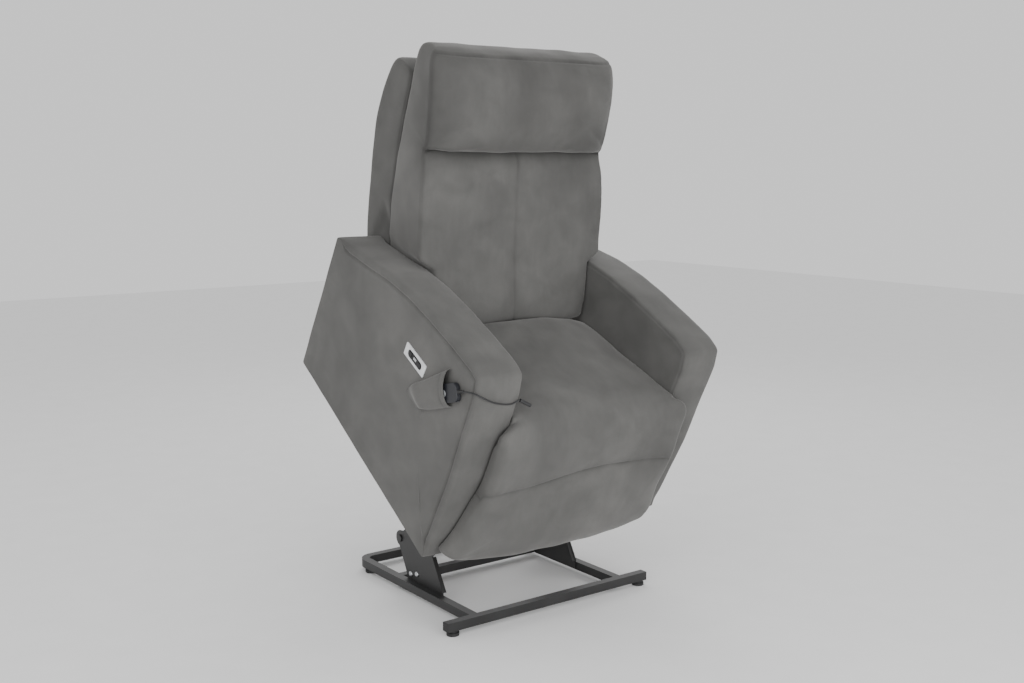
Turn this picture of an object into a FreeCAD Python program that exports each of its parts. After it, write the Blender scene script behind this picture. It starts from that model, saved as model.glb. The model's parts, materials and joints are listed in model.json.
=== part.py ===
import FreeCAD, Part
import math
import os

# Lift recliner chair, lifted pose, millimetres. +X sitter's left, +Y rear, +Z up.
# Base parts use (y, z) with y = 0 at the front tube's front face and z = 0 on the floor.
# Chair parts use (s, h): s runs rearwards along the arm's bottom edge, h is square to it.

V = FreeCAD.Vector

# ---- driving dimensions -------------------------------------------------------------
TILT = 33.4             # chair tilt in the lifted pose, degrees
HEEL_Y = 719.0          # arm's rear bottom corner in base coordinates
HEEL_Z = 673.0
Y_MID = 240.0           # base y of the row origin

TUBE = 25.4             # base tube, square
WALL = 1.6
FLOOR_GAP = 14.0        # glide height
FRONT_HALF = 363.0      # half length of the front tube
RAIL_OUT = 276.4        # outer face of the side rails
REAR_Y = 662.0          # rear face of the U-bent tube
REAR_BEND = 48.0        # its outer bend radius
CROSS_Y = 417.0         # front face of the fixed cross tube
GLIDES_AT = [(341.0, 12.7), (-341.0, 12.7), (258.0, 600.0), (-258.0, 600.0)]
GLIDE_R = 18.0
GLIDE_PAD = 9.0         # thickness of a glide's foot

A1 = (207.3, 185.0)     # fixed pivot of the front links (y, z)
A2 = (431.9, 152.5)     # fixed pivot of the rear links
B1 = (-729.2, 56.0)     # chair pivot of the front links (s, h)
B2 = (-638.0, 15.0)     # chair pivot of the rear links
E1 = (631.8, 80.3)      # lift actuator's base pivot (y, z)
G1 = (-561.5, 35.0)     # lift actuator's chair pivot (s, h)
SLOT_DIR = -119.1       # direction of the lost-motion slot in the chair, degrees
SLOT_RUN = 15.0

PIN_R = 6.0
RUN_GAP = 0.05          # radial running clearance
BUSH_R = 9.0
BRACKET_X = (247.0, 251.0)
FRONT_LINK_X = (240.0, 244.5)
REAR_LINK_X = (232.0, 236.5)
CHAIR_PLATE_X = (222.0, 226.0)

ARM_IN = 282.0
ARM_OUT = 420.0
SEAT_HALF = 278.0
BACK_HALF = 278.0       # back width between the arms
BACK_TOP_HALF = 312.0   # back cushion's width above the arms
PILLOW_HALF = 308.0
WRAP_HALF = 291.0       # outer back's width above the arms
BACK_WIDE_H = 625.0     # where the back widens

BACK_HINGE = (-170.0, 300.0)
BACK_BASE = (-420.0, 260.0)     # recline actuator's seat pivot
BACK_LEVER = (-127.7, 241.0)    # recline actuator's lever pivot
LEG_HINGE = (-782.0, 398.0)
LEG_SHAFT_R = 8.0

PANEL_AT = (-497.0, 439.0)      # control panel centre on the outer face of the right arm
PANEL_TURN = -2.1
HANDSET_TURN = 134.5            # handset's long axis in (s, h), degrees
HANDSET_END = (-706.0, 513.0)
HANDSET_SIZE = (165.0, 50.0)
END_CORNER = 15.0               # corner radius at the handset's visible end
HANDSET_X = (-436.0, -422.0)

# Handset cord: (x, s, h) points of its centre line
CORD_R = 2.25
CORD_POINTS = [
    (-429.0, -706.0, 513.0), (-431.0, -746.0, 550.0), (-414.0, -778.0, 556.0),
    (-374.0, -780.0, 534.0), (-332.0, -781.0, 522.0), (-306.0, -781.0, 521.0),
    (-290.0, -778.0, 530.0),
]
CONNECTOR_END = (-256.0, -790.0, 516.0)
CONNECTOR_R = 5.0

os.makedirs("parts", exist_ok=True)


# ---- helpers ------------------------------------------------------------------------
def box(x0, x1, y0, y1, z0, z1):
    return Part.makeBox(x1 - x0, y1 - y0, z1 - z0, V(x0, y0, z0))


def rod_x(x0, x1, centre, radius):
    return Part.makeCylinder(radius, x1 - x0, V(x0, centre[0], centre[1]), V(1, 0, 0))


def rod_between(p, q, radius):
    a = V(*p)
    b = V(*q)
    return Part.makeCylinder(radius, (b - a).Length, a, b - a)


def outline(runs, x=0.0):
    """Closed wire from runs of (y, z) points: two points make a line, more a spline."""
    edges = []
    for run in runs:
        points = [V(x, p[0], p[1]) for p in run]
        if len(points) == 2:
            edges.append(Part.LineSegment(points[0], points[1]).toShape())
        else:
            curve = Part.BSplineCurve()
            curve.interpolate(points)
            edges.append(curve.toShape())
    return Part.Wire(edges)


def slab(runs, x0, x1):
    return Part.Face(outline(runs, x0)).extrude(V(x1 - x0, 0, 0))


def plate(points, x0, x1):
    wire = Part.makePolygon([V(x0, p[0], p[1]) for p in points + points[:1]])
    return Part.Face(wire).extrude(V(x1 - x0, 0, 0))


def link(p, q, radius, x0, x1):
    """Flat link with round ends."""
    along = V(0, q[0] - p[0], q[1] - p[1])
    side = V(0, -along.z, along.y)
    side.normalize()
    side = side * radius
    a = V(x0, p[0], p[1])
    b = V(x0, q[0], q[1])
    bar = Part.Face(Part.makePolygon([a + side, b + side, b - side, a - side, a + side]))
    ends = [rod_x(x0, x1, p, radius), rod_x(x0, x1, q, radius)]
    return bar.extrude(V(x1 - x0, 0, 0)).multiFuse(ends).removeSplitter()


def square_tube(x0, x1, y0, z0):
    outer = box(x0, x1, y0, y0 + TUBE, z0, z0 + TUBE)
    return outer.cut(box(x0 - 1, x1 + 1, y0 + WALL, y0 + TUBE - WALL, z0 + WALL, z0 + TUBE - WALL))


def round_tube(x0, x1, centre, radius, wall):
    return rod_x(x0, x1, centre, radius).cut(rod_x(x0 - 1, x1 + 1, centre, radius - wall))


def fused(first, *others):
    return first.multiFuse(list(others)).removeSplitter()


def mirrored(shape):
    return shape.mirror(V(0, 0, 0), V(1, 0, 0))


def pair(shape):
    return [shape, mirrored(shape)]


def span(x):
    """The same stretch of x on the sitter's left and right, for left-right loops."""
    return [x, (-x[1], -x[0])]


def rounded(shape, radius, test):
    """Round the edges whose centre passes the test."""
    edges = [e for e in shape.Edges if test(e.CenterOfMass)]
    return shape.makeFillet(radius, edges).Solids[0]


def local_to_row(shape):
    turned = shape.copy()
    turned.rotate(V(0, 0, 0), V(1, 0, 0), TILT)
    turned.translate(V(0, HEEL_Y - Y_MID, HEEL_Z))
    return turned


def base_to_row(shape):
    moved = shape.copy()
    moved.translate(V(0, -Y_MID, 0))
    return moved


def save(name, solids, to_row):
    shapes = [to_row(s) for s in solids]
    whole = shapes[0] if len(shapes) == 1 else Part.makeCompound(shapes)
    whole.exportStep("parts/" + name + ".step")


def save_base(name, *solids):
    save(name, solids, base_to_row)


def save_chair(name, *solids):
    save(name, solids, local_to_row)


def chair_to_base(point):
    t = math.radians(TILT)
    y = HEEL_Y + point[0] * math.cos(t) - point[1] * math.sin(t)
    z = HEEL_Z + point[0] * math.sin(t) + point[1] * math.cos(t)
    return (y, z)


def along_line(p, q, shape):
    """Move a shape modelled with its axis along +y from the origin onto the line p to q."""
    angle = math.degrees(math.atan2(q[1] - p[1], q[0] - p[0]))
    laid = shape.copy()
    laid.rotate(V(0, 0, 0), V(1, 0, 0), angle)
    laid.translate(V(0, p[0], p[1]))
    return laid


def rod_y(y0, y1, radius):
    return Part.makeCylinder(radius, y1 - y0, V(0, y0, 0), V(0, 1, 0))


# ---- base ---------------------------------------------------------------------------
front_tube = square_tube(-FRONT_HALF, FRONT_HALF, 0, FLOOR_GAP)
save_base("base_front_tube", front_tube)

CAP_T = 3.5
PLUG = 14.0
cap = fused(
    box(FRONT_HALF, FRONT_HALF + CAP_T, 0, TUBE, FLOOR_GAP, FLOOR_GAP + TUBE),
    box(
        FRONT_HALF - PLUG, FRONT_HALF, WALL + 0.1, TUBE - WALL - 0.1,
        FLOOR_GAP + WALL + 0.1, FLOOR_GAP + TUBE - WALL - 0.1,
    ),
)
cap = rounded(cap, 3.0, lambda c: c.x > FRONT_HALF + CAP_T - 0.1)
save_base("base_end_caps", *pair(cap))


def u_block(inset, z0, z1):
    """Solid U outline of the side rails and rear run, inset from the outer faces."""
    half = RAIL_OUT - inset
    rear = REAR_Y - inset
    bend = REAR_BEND - inset
    block = box(-half, half, TUBE, rear, z0, z1)
    return rounded(block, bend, lambda c: abs(abs(c.x) - half) < 0.1 and abs(c.y - rear) < 0.1)


u_outer = u_block(0, FLOOR_GAP, FLOOR_GAP + TUBE).cut(u_block(TUBE, FLOOR_GAP - 1, FLOOR_GAP + TUBE + 1))
u_hollow = u_block(WALL, FLOOR_GAP + WALL, FLOOR_GAP + TUBE - WALL)
u_hollow = u_hollow.cut(u_block(TUBE - WALL, FLOOR_GAP, FLOOR_GAP + TUBE))
save_base("base_u_frame", u_outer.cut(u_hollow))

rail_in = RAIL_OUT - TUBE
save_base("base_cross_tube", square_tube(-rail_in, rail_in, CROSS_Y, FLOOR_GAP))

glides = []
for x, y in GLIDES_AT:
    pad = Part.makeCylinder(GLIDE_R, GLIDE_PAD, V(x, y, 0))
    pad = rounded(pad, 2.0, lambda c: c.z < 0.1)
    glides.append(fused(pad, Part.makeCylinder(GLIDE_R - 4, FLOOR_GAP - GLIDE_PAD, V(x, y, GLIDE_PAD))))
save_base("base_glides", *glides)

# Leaning side brackets: plates welded inside the rails, carrying both fixed pivots
BRACKET_EDGE = [
    (201, 18), (384, 18), (392, 44), (431, 118), (455, 152), (436, 175), (300, 204),
    (207, 205), (188, 190), (190, 176), (222, 166), (254, 140), (201, 48),
]
BOLTS = [(338, 64), (372, 56)]
BOLT_R = 4.0
bracket = fused(
    plate(BRACKET_EDGE, *BRACKET_X),
    rod_x(*BRACKET_X, A2, 24),
    rod_x(*BRACKET_X, A1, 20),
)
flange = plate([(201, 44), (255, 138), (259, 136), (205, 42)], BRACKET_X[0] - 10, BRACKET_X[0])
bracket = fused(bracket, flange)
for spot in BOLTS:
    bracket = bracket.cut(rod_x(BRACKET_X[0] - 1, BRACKET_X[1] + 1, spot, BOLT_R))
for pivot in (A1, A2):
    bracket = bracket.cut(rod_x(BRACKET_X[0] - 1, BRACKET_X[1] + 1, pivot, PIN_R))
save_base("base_brackets", *pair(bracket))


def hex_x(x0, x1, centre, across):
    radius = across / math.sqrt(3)
    corners = [
        (centre[0] + radius * math.cos(math.radians(a)), centre[1] + radius * math.sin(math.radians(a)))
        for a in range(0, 360, 60)
    ]
    return plate(corners, x0, x1)


bolts = []
for spot in BOLTS:
    head = rounded(rod_x(BRACKET_X[1], BRACKET_X[1] + 4.5, spot, 8), 3.0, lambda c: c.x > BRACKET_X[1] + 4.4)
    bolt = fused(
        head,
        rod_x(BRACKET_X[0] - 6, BRACKET_X[1], spot, BOLT_R),
        hex_x(BRACKET_X[0] - 5, BRACKET_X[0], spot, 13),
    )
    bolts += pair(bolt)
save_base("bracket_bolts", *bolts)

fixed_pins = []
for pivot, link_x in ((A1, FRONT_LINK_X), (A2, REAR_LINK_X)):
    pin = fused(
        rod_x(link_x[0] - 1.5, BRACKET_X[1], pivot, PIN_R),
        rounded(rod_x(BRACKET_X[1], BRACKET_X[1] + 5, pivot, 11), 2.0, lambda c: c.x > BRACKET_X[1] + 4.9),
    )
    fixed_pins += pair(pin)
fixed_pins.append(rod_x(-27, 27, E1, PIN_R))
save_base("base_pivot_pins", *fixed_pins)

# ---- lift links ---------------------------------------------------------------------
B1_ROW = chair_to_base(B1)
B2_ROW = chair_to_base(B2)


def lift_link(fixed, moving, radius, x):
    bar = link(fixed, moving, radius, *x)
    for pivot in (fixed, moving):
        bar = bar.cut(rod_x(x[0] - 1, x[1] + 1, pivot, BUSH_R))
    return bar


def bushing(pivot, x):
    return rod_x(*x, pivot, BUSH_R).cut(rod_x(x[0] - 1, x[1] + 1, pivot, PIN_R + RUN_GAP))


front_link = lift_link(A1, B1_ROW, 17.0, FRONT_LINK_X)
save_base("front_lift_links", *pair(front_link))
rear_link = lift_link(A2, B2_ROW, 19.0, REAR_LINK_X)
save_base("rear_lift_links", *pair(rear_link))

# The front links' upper bushing is the linkage's opened pivot, so its hole is wide
OPEN_GAP = 1.65
open_bush = rod_x(*FRONT_LINK_X, B1_ROW, BUSH_R).cut(
    rod_x(FRONT_LINK_X[0] - 1, FRONT_LINK_X[1] + 1, B1_ROW, PIN_R + OPEN_GAP)
)
save_base("front_link_bushings", *pair(bushing(A1, FRONT_LINK_X)), *pair(open_bush))
save_base("rear_link_bushings", *pair(bushing(A2, REAR_LINK_X)), *pair(bushing(B2_ROW, REAR_LINK_X)))

# ---- lift actuator ------------------------------------------------------------------
G1_ROW = chair_to_base(G1)
REAR_TUBE_Y = REAR_Y - TUBE
TUBE_TOP = FLOOR_GAP + TUBE
clevis_base = box(-30, 30, REAR_TUBE_Y, REAR_Y, TUBE_TOP, TUBE_TOP + 4)
ears = []
for x in span((20, 24)):
    ear = fused(
        plate([(616, 80), (648, 80), (REAR_Y, TUBE_TOP + 4), (REAR_TUBE_Y, TUBE_TOP + 4)], *x),
        rod_x(*x, E1, 16),
    )
    ears.append(ear.cut(rod_x(x[0] - 1, x[1] + 1, E1, PIN_R)))
save_base("lift_actuator_clevis", fused(clevis_base, *ears))


def actuator_body(eye_r, box_len, box_half, can_r, can_len, tube_r, tube_end, can_side):
    """Gearbox, hanging motor can and outer tube; pivot eye at the origin, axis along +y."""
    eye = fused(rod_x(-16, 16, (0, 0), eye_r), box(-16, 16, 0, 30, -box_half, box_half))
    gearbox = rounded(box(-19, 19, 22, 22 + box_len, -box_half - 6, box_half + 6), 4.0, lambda c: True)
    can = Part.makeCylinder(can_r, can_len, V(can_side, 22 + box_len / 2, 0), V(0, 1, 0))
    case = fused(gearbox, eye).cut(rod_x(-30, 30, (0, 0), PIN_R + RUN_GAP))
    tube = rod_y(22 + box_len, tube_end, tube_r)
    return case, can, tube


LIFT_TUBE_R = 16.0
LIFT_TUBE_END = 400.0
LIFT_ROD_R = 8.0
case, can, tube = actuator_body(13, 62, 13, 24, 150, LIFT_TUBE_R, LIFT_TUBE_END, 46)
tube = tube.cut(rod_y(120, LIFT_TUBE_END + 1, LIFT_ROD_R + 0.1))
motor_mount = box(15, 30, 60, 82, -10, 10)
case = fused(case, motor_mount).cut(can)
save_base("lift_actuator_gearbox", along_line(E1, G1_ROW, case))
save_base("lift_actuator_motor", along_line(E1, G1_ROW, can))
save_base("lift_actuator_tube", along_line(E1, G1_ROW, tube))

lift_len = math.dist(E1, G1_ROW)
rod = fused(
    rod_y(lift_len - 298, lift_len - 8, LIFT_ROD_R),
    rod_x(-9, 9, (lift_len, 0), 13),
    rod_x(-21, 21, (lift_len, 0), PIN_R - 1),
)
save_base("lift_actuator_rod", along_line(E1, G1_ROW, rod))

# ---- chair steelwork ----------------------------------------------------------------
PLATE_EDGE = [
    (-768, 196), (-768, 90), (-745, 40), (-729, 36), (-645, -4), (-620, 4), (-588, 40),
    (-584, 148), (-110, 150), (-110, 196),
]
side_plate = fused(
    plate(PLATE_EDGE, *CHAIR_PLATE_X),
    rod_x(*CHAIR_PLATE_X, B1, 20),
    rod_x(*CHAIR_PLATE_X, B2, 19),
    box(CHAIR_PLATE_X[1], 258, -768, -110, 192, 196),
)
for pivot in (B1, B2):
    side_plate = side_plate.cut(rod_x(CHAIR_PLATE_X[0] - 1, CHAIR_PLATE_X[1] + 1, pivot, PIN_R))
save_chair("chair_side_plates", *pair(side_plate))

chair_pins = []
for pivot, link_x in ((B1, FRONT_LINK_X), (B2, REAR_LINK_X)):
    chair_pins += pair(rod_x(CHAIR_PLATE_X[0], link_x[1] + 1.5, pivot, PIN_R))
chair_pins.append(rod_x(-27, 27, BACK_BASE, PIN_R))
chair_pins += pair(rod_x(244, 258, BACK_HINGE, PIN_R))
save_chair("chair_pivot_pins", *chair_pins)

FRONT_CROSS = (-612.0, 66.0)
REAR_CROSS = (-135.0, 173.0)
CROSS_R = 12.7
plate_in = CHAIR_PLATE_X[0]
front_cross = round_tube(-plate_in, plate_in, FRONT_CROSS, CROSS_R, 2.0)
rear_cross = round_tube(-plate_in, plate_in, REAR_CROSS, CROSS_R, 2.0)

slot_angle = math.radians(SLOT_DIR)
slot_end = (G1[0] + SLOT_RUN * math.cos(slot_angle), G1[1] + SLOT_RUN * math.sin(slot_angle))
SLOT_R = PIN_R - 1 + 1.6
lugs = []
for x in span((12, 17)):
    lug = fused(
        plate([(-612, 85), (-585, 70), (-545, 45), (-556, 8), (-585, 8), (-612, 47)], *x),
        link(G1, slot_end, 15, *x),
    )
    lug = lug.cut(link(G1, slot_end, SLOT_R, x[0] - 1, x[1] + 1))
    lugs.append(lug.cut(rod_x(x[0] - 1, x[1] + 1, FRONT_CROSS, CROSS_R)))
save_chair("chair_cross_tubes", fused(front_cross, *lugs), rear_cross)

# ---- seat frame ---------------------------------------------------------------------
RAIL_IN = 258.0
RAIL_TOP = 345.0
SIDE_RAIL = [
    (-743, 196), (-743, RAIL_TOP), (-352, RAIL_TOP), (-352, 300), (-230, 285), (-150, 250),
    (-60, 215), (-60, 196),
]
ARM_BOLTS = [(-650, 240), (-350, 240)]
ARM_BOLT_R = 4.0
side_rail = plate(SIDE_RAIL, RAIL_IN, 280)
for spot in ARM_BOLTS:
    side_rail = side_rail.cut(rod_x(RAIL_IN - 1, 281, spot, ARM_BOLT_R))
save_chair("seat_side_rails", *pair(side_rail))
front_rail = box(-280, 280, -765, -743, 196, 372)
spring_rail = box(-RAIL_IN, RAIL_IN, -372, -350, 300, RAIL_TOP)
recline_rail = box(-RAIL_IN, RAIL_IN, -470, -445, 205, 290)
save_chair("seat_cross_rails", front_rail, spring_rail, recline_rail)

# Sinuous springs from the front rail to the spring rail
WIRE_R = 2.0
SPRING_FRONT = (-754.0, 372.0 + WIRE_R)
SPRING_BACK = (-361.0, RAIL_TOP + WIRE_R)
PASSES = 28
PASS_HALF = 16.0


def sinuous(x_mid):
    """Flat serpentine wire: straight passes across x joined by half circles."""
    run = math.dist(SPRING_FRONT, SPRING_BACK)
    step = run / PASSES
    edges = []
    for i in range(PASSES + 1):
        way = 1 if i % 2 == 0 else -1
        start = V(x_mid - way * PASS_HALF, i * step, 0)
        end = V(x_mid + way * PASS_HALF, i * step, 0)
        edges.append(Part.LineSegment(start, end).toShape())
        if i < PASSES:
            top = end + V(0, step, 0)
            middle = end + V(way * step / 2, step / 2, 0)
            edges.append(Part.Arc(end, middle, top).toShape())
    path = Part.Wire(edges)
    ring = Part.Wire([Part.makeCircle(WIRE_R, V(x_mid - PASS_HALF, 0, 0), V(1, 0, 0))])
    wire = path.makePipeShell([ring], True, True)
    slope = math.degrees(math.atan2(SPRING_BACK[1] - SPRING_FRONT[1], SPRING_BACK[0] - SPRING_FRONT[0]))
    wire.rotate(V(0, 0, 0), V(1, 0, 0), slope)
    wire.translate(V(0, SPRING_FRONT[0], SPRING_FRONT[1]))
    return wire


springs = [sinuous(x) for x in (-190, -95, 0, 95, 190)]
save_chair("seat_springs", *springs)

DECK_LIFT = WIRE_R * 2 + 0.4
save_chair(
    "seat_deck",
    plate(
        [
            (-765, 373 + DECK_LIFT), (-372, 345.5 + DECK_LIFT), (-372, 348 + DECK_LIFT),
            (-765, 375.5 + DECK_LIFT),
        ],
        -250, 250,
    ),
)

seat_cushion = slab(
    [
        [(-766, 382.5), (-375, 355.5)],
        [(-375, 355.5), (-375, 430)],
        [(-375, 430), (-470, 438), (-600, 444), (-700, 450), (-766, 449)],
        [(-766, 449), (-766, 382.5)],
    ],
    -SEAT_HALF, SEAT_HALF,
)
seat_cushion = rounded(seat_cushion, 10.0, lambda c: c.z > 435 and abs(c.x) > SEAT_HALF - 1)
save_chair("seat_cushion", seat_cushion)

# ---- arms ---------------------------------------------------------------------------
ARM_TOP = [
    (-745, 592), (-703, 600), (-601, 596), (-490, 587), (-379, 575), (-263, 548),
    (-170, 515), (-63, 490), (0, 476),
]
ARM_FRONT = [(-812, 0), (-815, 77), (-804, 280), (-785, 417), (-768, 541), (-745, 592)]
arm = slab([ARM_FRONT, ARM_TOP, [(0, 476), (0, 0)], [(0, 0), (-812, 0)]], ARM_IN, ARM_OUT)
arm_mid = (ARM_IN + ARM_OUT) / 2
arm = rounded(arm, 12.0, lambda c: abs(c.x - arm_mid) < 1 and c.z > 585)
arm = rounded(arm, 16.0, lambda c: abs(c.x - arm_mid) > 60 and c.z > 100 and c.y < -100)
BOARD_X = (345.0, 363.0)
BOARD = [(-785, 0), (-775, 280), (-748, 530), (-700, 565), (-480, 552), (-260, 515), (-25, 455), (-25, 0)]
board = plate(BOARD, *BOARD_X)
board_room = plate(BOARD, BOARD_X[0] - 0.4, BOARD_X[1] + 0.4)
arm = arm.cut(board_room)
for spot in ARM_BOLTS:
    arm = arm.cut(rod_x(ARM_IN - 1, BOARD_X[0], spot, ARM_BOLT_R + 0.4))
save_chair("arm_upholstery_left", arm)
save_chair("arm_boards", *pair(board))

arm_bolts = []
for spot in ARM_BOLTS:
    bolt = fused(rod_x(RAIL_IN - 5, BOARD_X[0], spot, ARM_BOLT_R), hex_x(RAIL_IN - 5, RAIL_IN, spot, 13))
    arm_bolts += pair(bolt)
save_chair("arm_bolts", *arm_bolts)

# ---- control panel in the right arm's outer face ------------------------------------
BEZEL = (107.0, 39.0)
OVAL = (74.0, 22.0)
BUTTON = (15.0, 12.0)
BUTTON_OFF = 24.0
SOCKET = (14.0, 7.0)


def on_panel(shape):
    """Place a shape modelled round (y, z) = 0 with x outwards from the arm's face."""
    placed = mirrored(shape)
    placed.rotate(V(0, 0, 0), V(1, 0, 0), PANEL_TURN)
    placed.translate(V(-ARM_OUT, PANEL_AT[0], PANEL_AT[1]))
    return placed


def oval(length, height, x0, x1):
    run = (length - height) / 2
    return link((-run, 0), (run, 0), height / 2, x0, x1)


def pad_block(size, y_mid, x0, x1, corner):
    """Rectangular block with its four long edges rounded."""
    half_y = size[0] / 2
    half_z = size[1] / 2
    block = box(x0, x1, y_mid - half_y, y_mid + half_y, -half_z, half_z)
    return rounded(block, corner, lambda c: min(half_y - abs(c.y - y_mid), half_z - abs(c.z)) > -0.1 and
                   max(half_y - abs(c.y - y_mid), half_z - abs(c.z)) < 0.1)


bezel = rounded(pad_block(BEZEL, 0, 0, 3, 3.0), 1.0, lambda c: c.x > 2.9)
bezel = bezel.cut(oval(OVAL[0], OVAL[1], -1, 4))
insert = oval(OVAL[0] - 0.4, OVAL[1] - 0.4, -14, 2)
for side in (-BUTTON_OFF, BUTTON_OFF):
    well = (BUTTON[0] + 0.5, BUTTON[1] + 0.5)
    insert = insert.cut(pad_block(well, side, -6, 3, 2.0))
insert = insert.cut(pad_block(SOCKET, 0, -10, 3, 0.5))
panel_room = oval(OVAL[0], OVAL[1], -14.4, 1)
right_arm = mirrored(arm).cut(on_panel(panel_room))
save_chair("arm_upholstery_right", right_arm)
save_chair("panel_bezel", on_panel(bezel))
save_chair("panel_insert", on_panel(insert))
for name, side in (("panel_button_rear", BUTTON_OFF), ("panel_button_front", -BUTTON_OFF)):
    key = rounded(pad_block(BUTTON, side, -3.5, 3.6, 2.0), 0.8, lambda c: c.x > 3.5)
    save_chair(name, on_panel(key))
socket = pad_block((SOCKET[0] - 0.2, SOCKET[1] - 0.2), 0, -9.5, 2.4, 0.5)
socket = socket.cut(box(-6, 3, -5.5, 5.5, -2.2, 2.2)).fuse(box(-6, 1.5, -5.0, 5.0, -1.9, 0.2))
save_chair("panel_usb_socket", on_panel(socket))

# ---- handset, pocket and cord -------------------------------------------------------
def on_handset(shape):
    """Place a shape modelled with the handset's visible end at y = 0, body towards -y."""
    placed = shape.copy()
    placed.rotate(V(0, 0, 0), V(1, 0, 0), HANDSET_TURN)
    placed.translate(V(0, HANDSET_END[0], HANDSET_END[1]))
    return placed


length, width = HANDSET_SIZE
case_body = box(HANDSET_X[0], HANDSET_X[1], -length, 0, -width / 2, width / 2)
case_body = rounded(case_body, END_CORNER, lambda c: abs(abs(c.z) - width / 2) < 0.1 and c.y > -0.1)
case_body = rounded(case_body, 8.0, lambda c: abs(abs(c.z) - width / 2) < 0.1 and c.y < 0.1 - length)
case_body = rounded(case_body, 2.0, lambda c: abs(c.x - HANDSET_X[0]) < 0.1 or abs(c.x - HANDSET_X[1]) < 0.1)
KEYS = [("up", -58.0), ("down", -88.0)]
KEY_R = 9.0
KEY_OUT = 1.0
keys = []
for name, y in KEYS:
    case_body = case_body.cut(rod_x(HANDSET_X[0] - 2, HANDSET_X[0] + 5, (y, 0), KEY_R + 0.2))
    keys.append((name, rod_x(HANDSET_X[0] - KEY_OUT, HANDSET_X[0] + 3, (y, 0), KEY_R)))
save_chair("handset_case", on_handset(case_body))
for name, key in keys:
    save_chair("handset_button_" + name, on_handset(key))

POCKET_EDGE = [
    (-641, 535), (-560, 424), (-512, 361), (-505, 332), (-572, 332), (-616, 368), (-656, 412), (-692, 457),
]
POCKET_ROOM = [
    (-655, 548), (-565, 425), (-546, 392), (-552, 372), (-585, 363), (-609.5, 376.5), (-726, 495),
]
POCKET_X = (-439.8, -420.0)
pocket = plate(POCKET_EDGE, *POCKET_X)
pocket = pocket.cut(plate(POCKET_ROOM, POCKET_X[0] + 1.8, POCKET_X[1] - 0.6))
slope = plate([(-500, 325), (-500, 380), (-560, 340), (-580, 325)], POCKET_X[0] - 1, POCKET_X[0] + 12)
save_chair("handset_pocket", pocket.cut(slope))


def cord(points, radius):
    """Tube along straight runs joined by tangent arcs."""
    pts = [V(*p) for p in points]
    edges = []
    last = pts[0]
    for before, here, after in zip(pts, pts[1:], pts[2:]):
        back = before - here
        on = after - here
        cut = 0.45 * min(back.Length, on.Length)
        back.normalize()
        on.normalize()
        start = here + back * cut
        end = here + on * cut
        half = math.acos(max(-1.0, min(1.0, back.dot(on)))) / 2
        bisector = back + on
        bisector.normalize()
        centre = here + bisector * (cut / math.cos(half))
        bend = cut * math.tan(half)
        middle = centre - bisector * bend
        edges.append(Part.LineSegment(last, start).toShape())
        edges.append(Part.Arc(start, middle, end).toShape())
        last = end
        print("cord bend radius %.1f mm" % bend)
    edges.append(Part.LineSegment(last, pts[-1]).toShape())
    path = Part.Wire(edges)
    ring = Part.Wire([Part.makeCircle(radius, pts[0], pts[1] - pts[0])])
    tube = path.makePipeShell([ring], True, True)
    print("cord length %.1f mm" % path.Length)
    return tube


save_chair("handset_cord", cord(CORD_POINTS, CORD_R))
cord_end = V(*CORD_POINTS[-1])
leads = V(*CONNECTOR_END) - cord_end
leads.normalize()
stem = rounded(rod_between(cord_end + leads * 2.5, CONNECTOR_END, CONNECTOR_R), 1.0, lambda c: True)
save_chair("cord_connector", stem)

# ---- reclining back -----------------------------------------------------------------
# Rear face of the inner back, which is also the front face of the outer back
SPINE = [
    (-113, 328), (-75, 400), (-42, 483), (-2, 603), (21, 690), (57, 800), (79, 915), (93, 1000),
    (90, 1050),
]


def spine_s(h):
    for low, high in zip(SPINE, SPINE[1:]):
        if low[1] <= h <= high[1]:
            return low[0] + (high[0] - low[0]) * (h - low[1]) / (high[1] - low[1])
    raise ValueError(h)


def spine_run(h0, h1, offset):
    inside = [p for p in SPINE if h0 < p[1] < h1]
    points = [(spine_s(h0), h0)] + inside + [(spine_s(h1), h1)]
    return [(p[0] + offset, p[1]) for p in points]


def strip(h0, h1, off0, off1, x0, x1):
    front = spine_run(h0, h1, off0)
    rear = spine_run(h0, h1, off1)[::-1]
    return plate(front + rear, x0, x1)


def stepped(runs, top_half):
    """Back shape that is narrow between the arms and wide above them."""
    narrow = slab(runs, -BACK_HALF, BACK_HALF)
    wide = slab(runs, -top_half, top_half)
    return fused(narrow, wide.common(box(-500, 500, -500, 500, BACK_WIDE_H, 1300)))


rear_edge = spine_run(358, 832, -1.0)
back_front = [(-372, 395), (-352, 420), (-300, 500), (-255, 600), (-212, 690), (-172, 762), (-140, 832)]
back_cushion = stepped([
    rear_edge[::-1],
    [rear_edge[0], (-225, 340)],
    [(-225, 340), (-340, 378)],
    [(-340, 378), (-372, 395)],
    back_front,
    [back_front[-1], rear_edge[-1]],
], BACK_TOP_HALF)
save_chair("back_cushion", back_cushion)

pillow = slab(
    [
        [(-137, 846), (-125, 890), (-108, 931), (-88, 990), (-70, 1042), (-49, 1073)],
        [(-49, 1073), (-9, 1083), (45, 1079), (75, 1062), (87, 1035)],
        [(87, 1035), (88, 1000), (74, 915), (58, 835)],
        [(58, 835), (-120, 835)],
        [(-120, 835), (-137, 846)],
    ],
    -PILLOW_HALF, PILLOW_HALF,
)
save_chair("headrest_pillow", pillow)

outer_front = spine_run(328, 945, 0.0)
outer_back = stepped([
    outer_front,
    [outer_front[-1], (130, 962), (192, 953)],
    [(192, 953), (205, 933), (213, 884), (210, 771), (175, 658), (118, 520), (72, 421), (45, 355), (35, 328)],
    [(35, 328), outer_front[0]],
], WRAP_HALF)
FRAME_X = 256.0
frame_room = strip(328, 935, -5.0, 47.0, -FRAME_X - 1, FRAME_X + 1)
save_chair("outer_back", outer_back.cut(frame_room))

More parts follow.
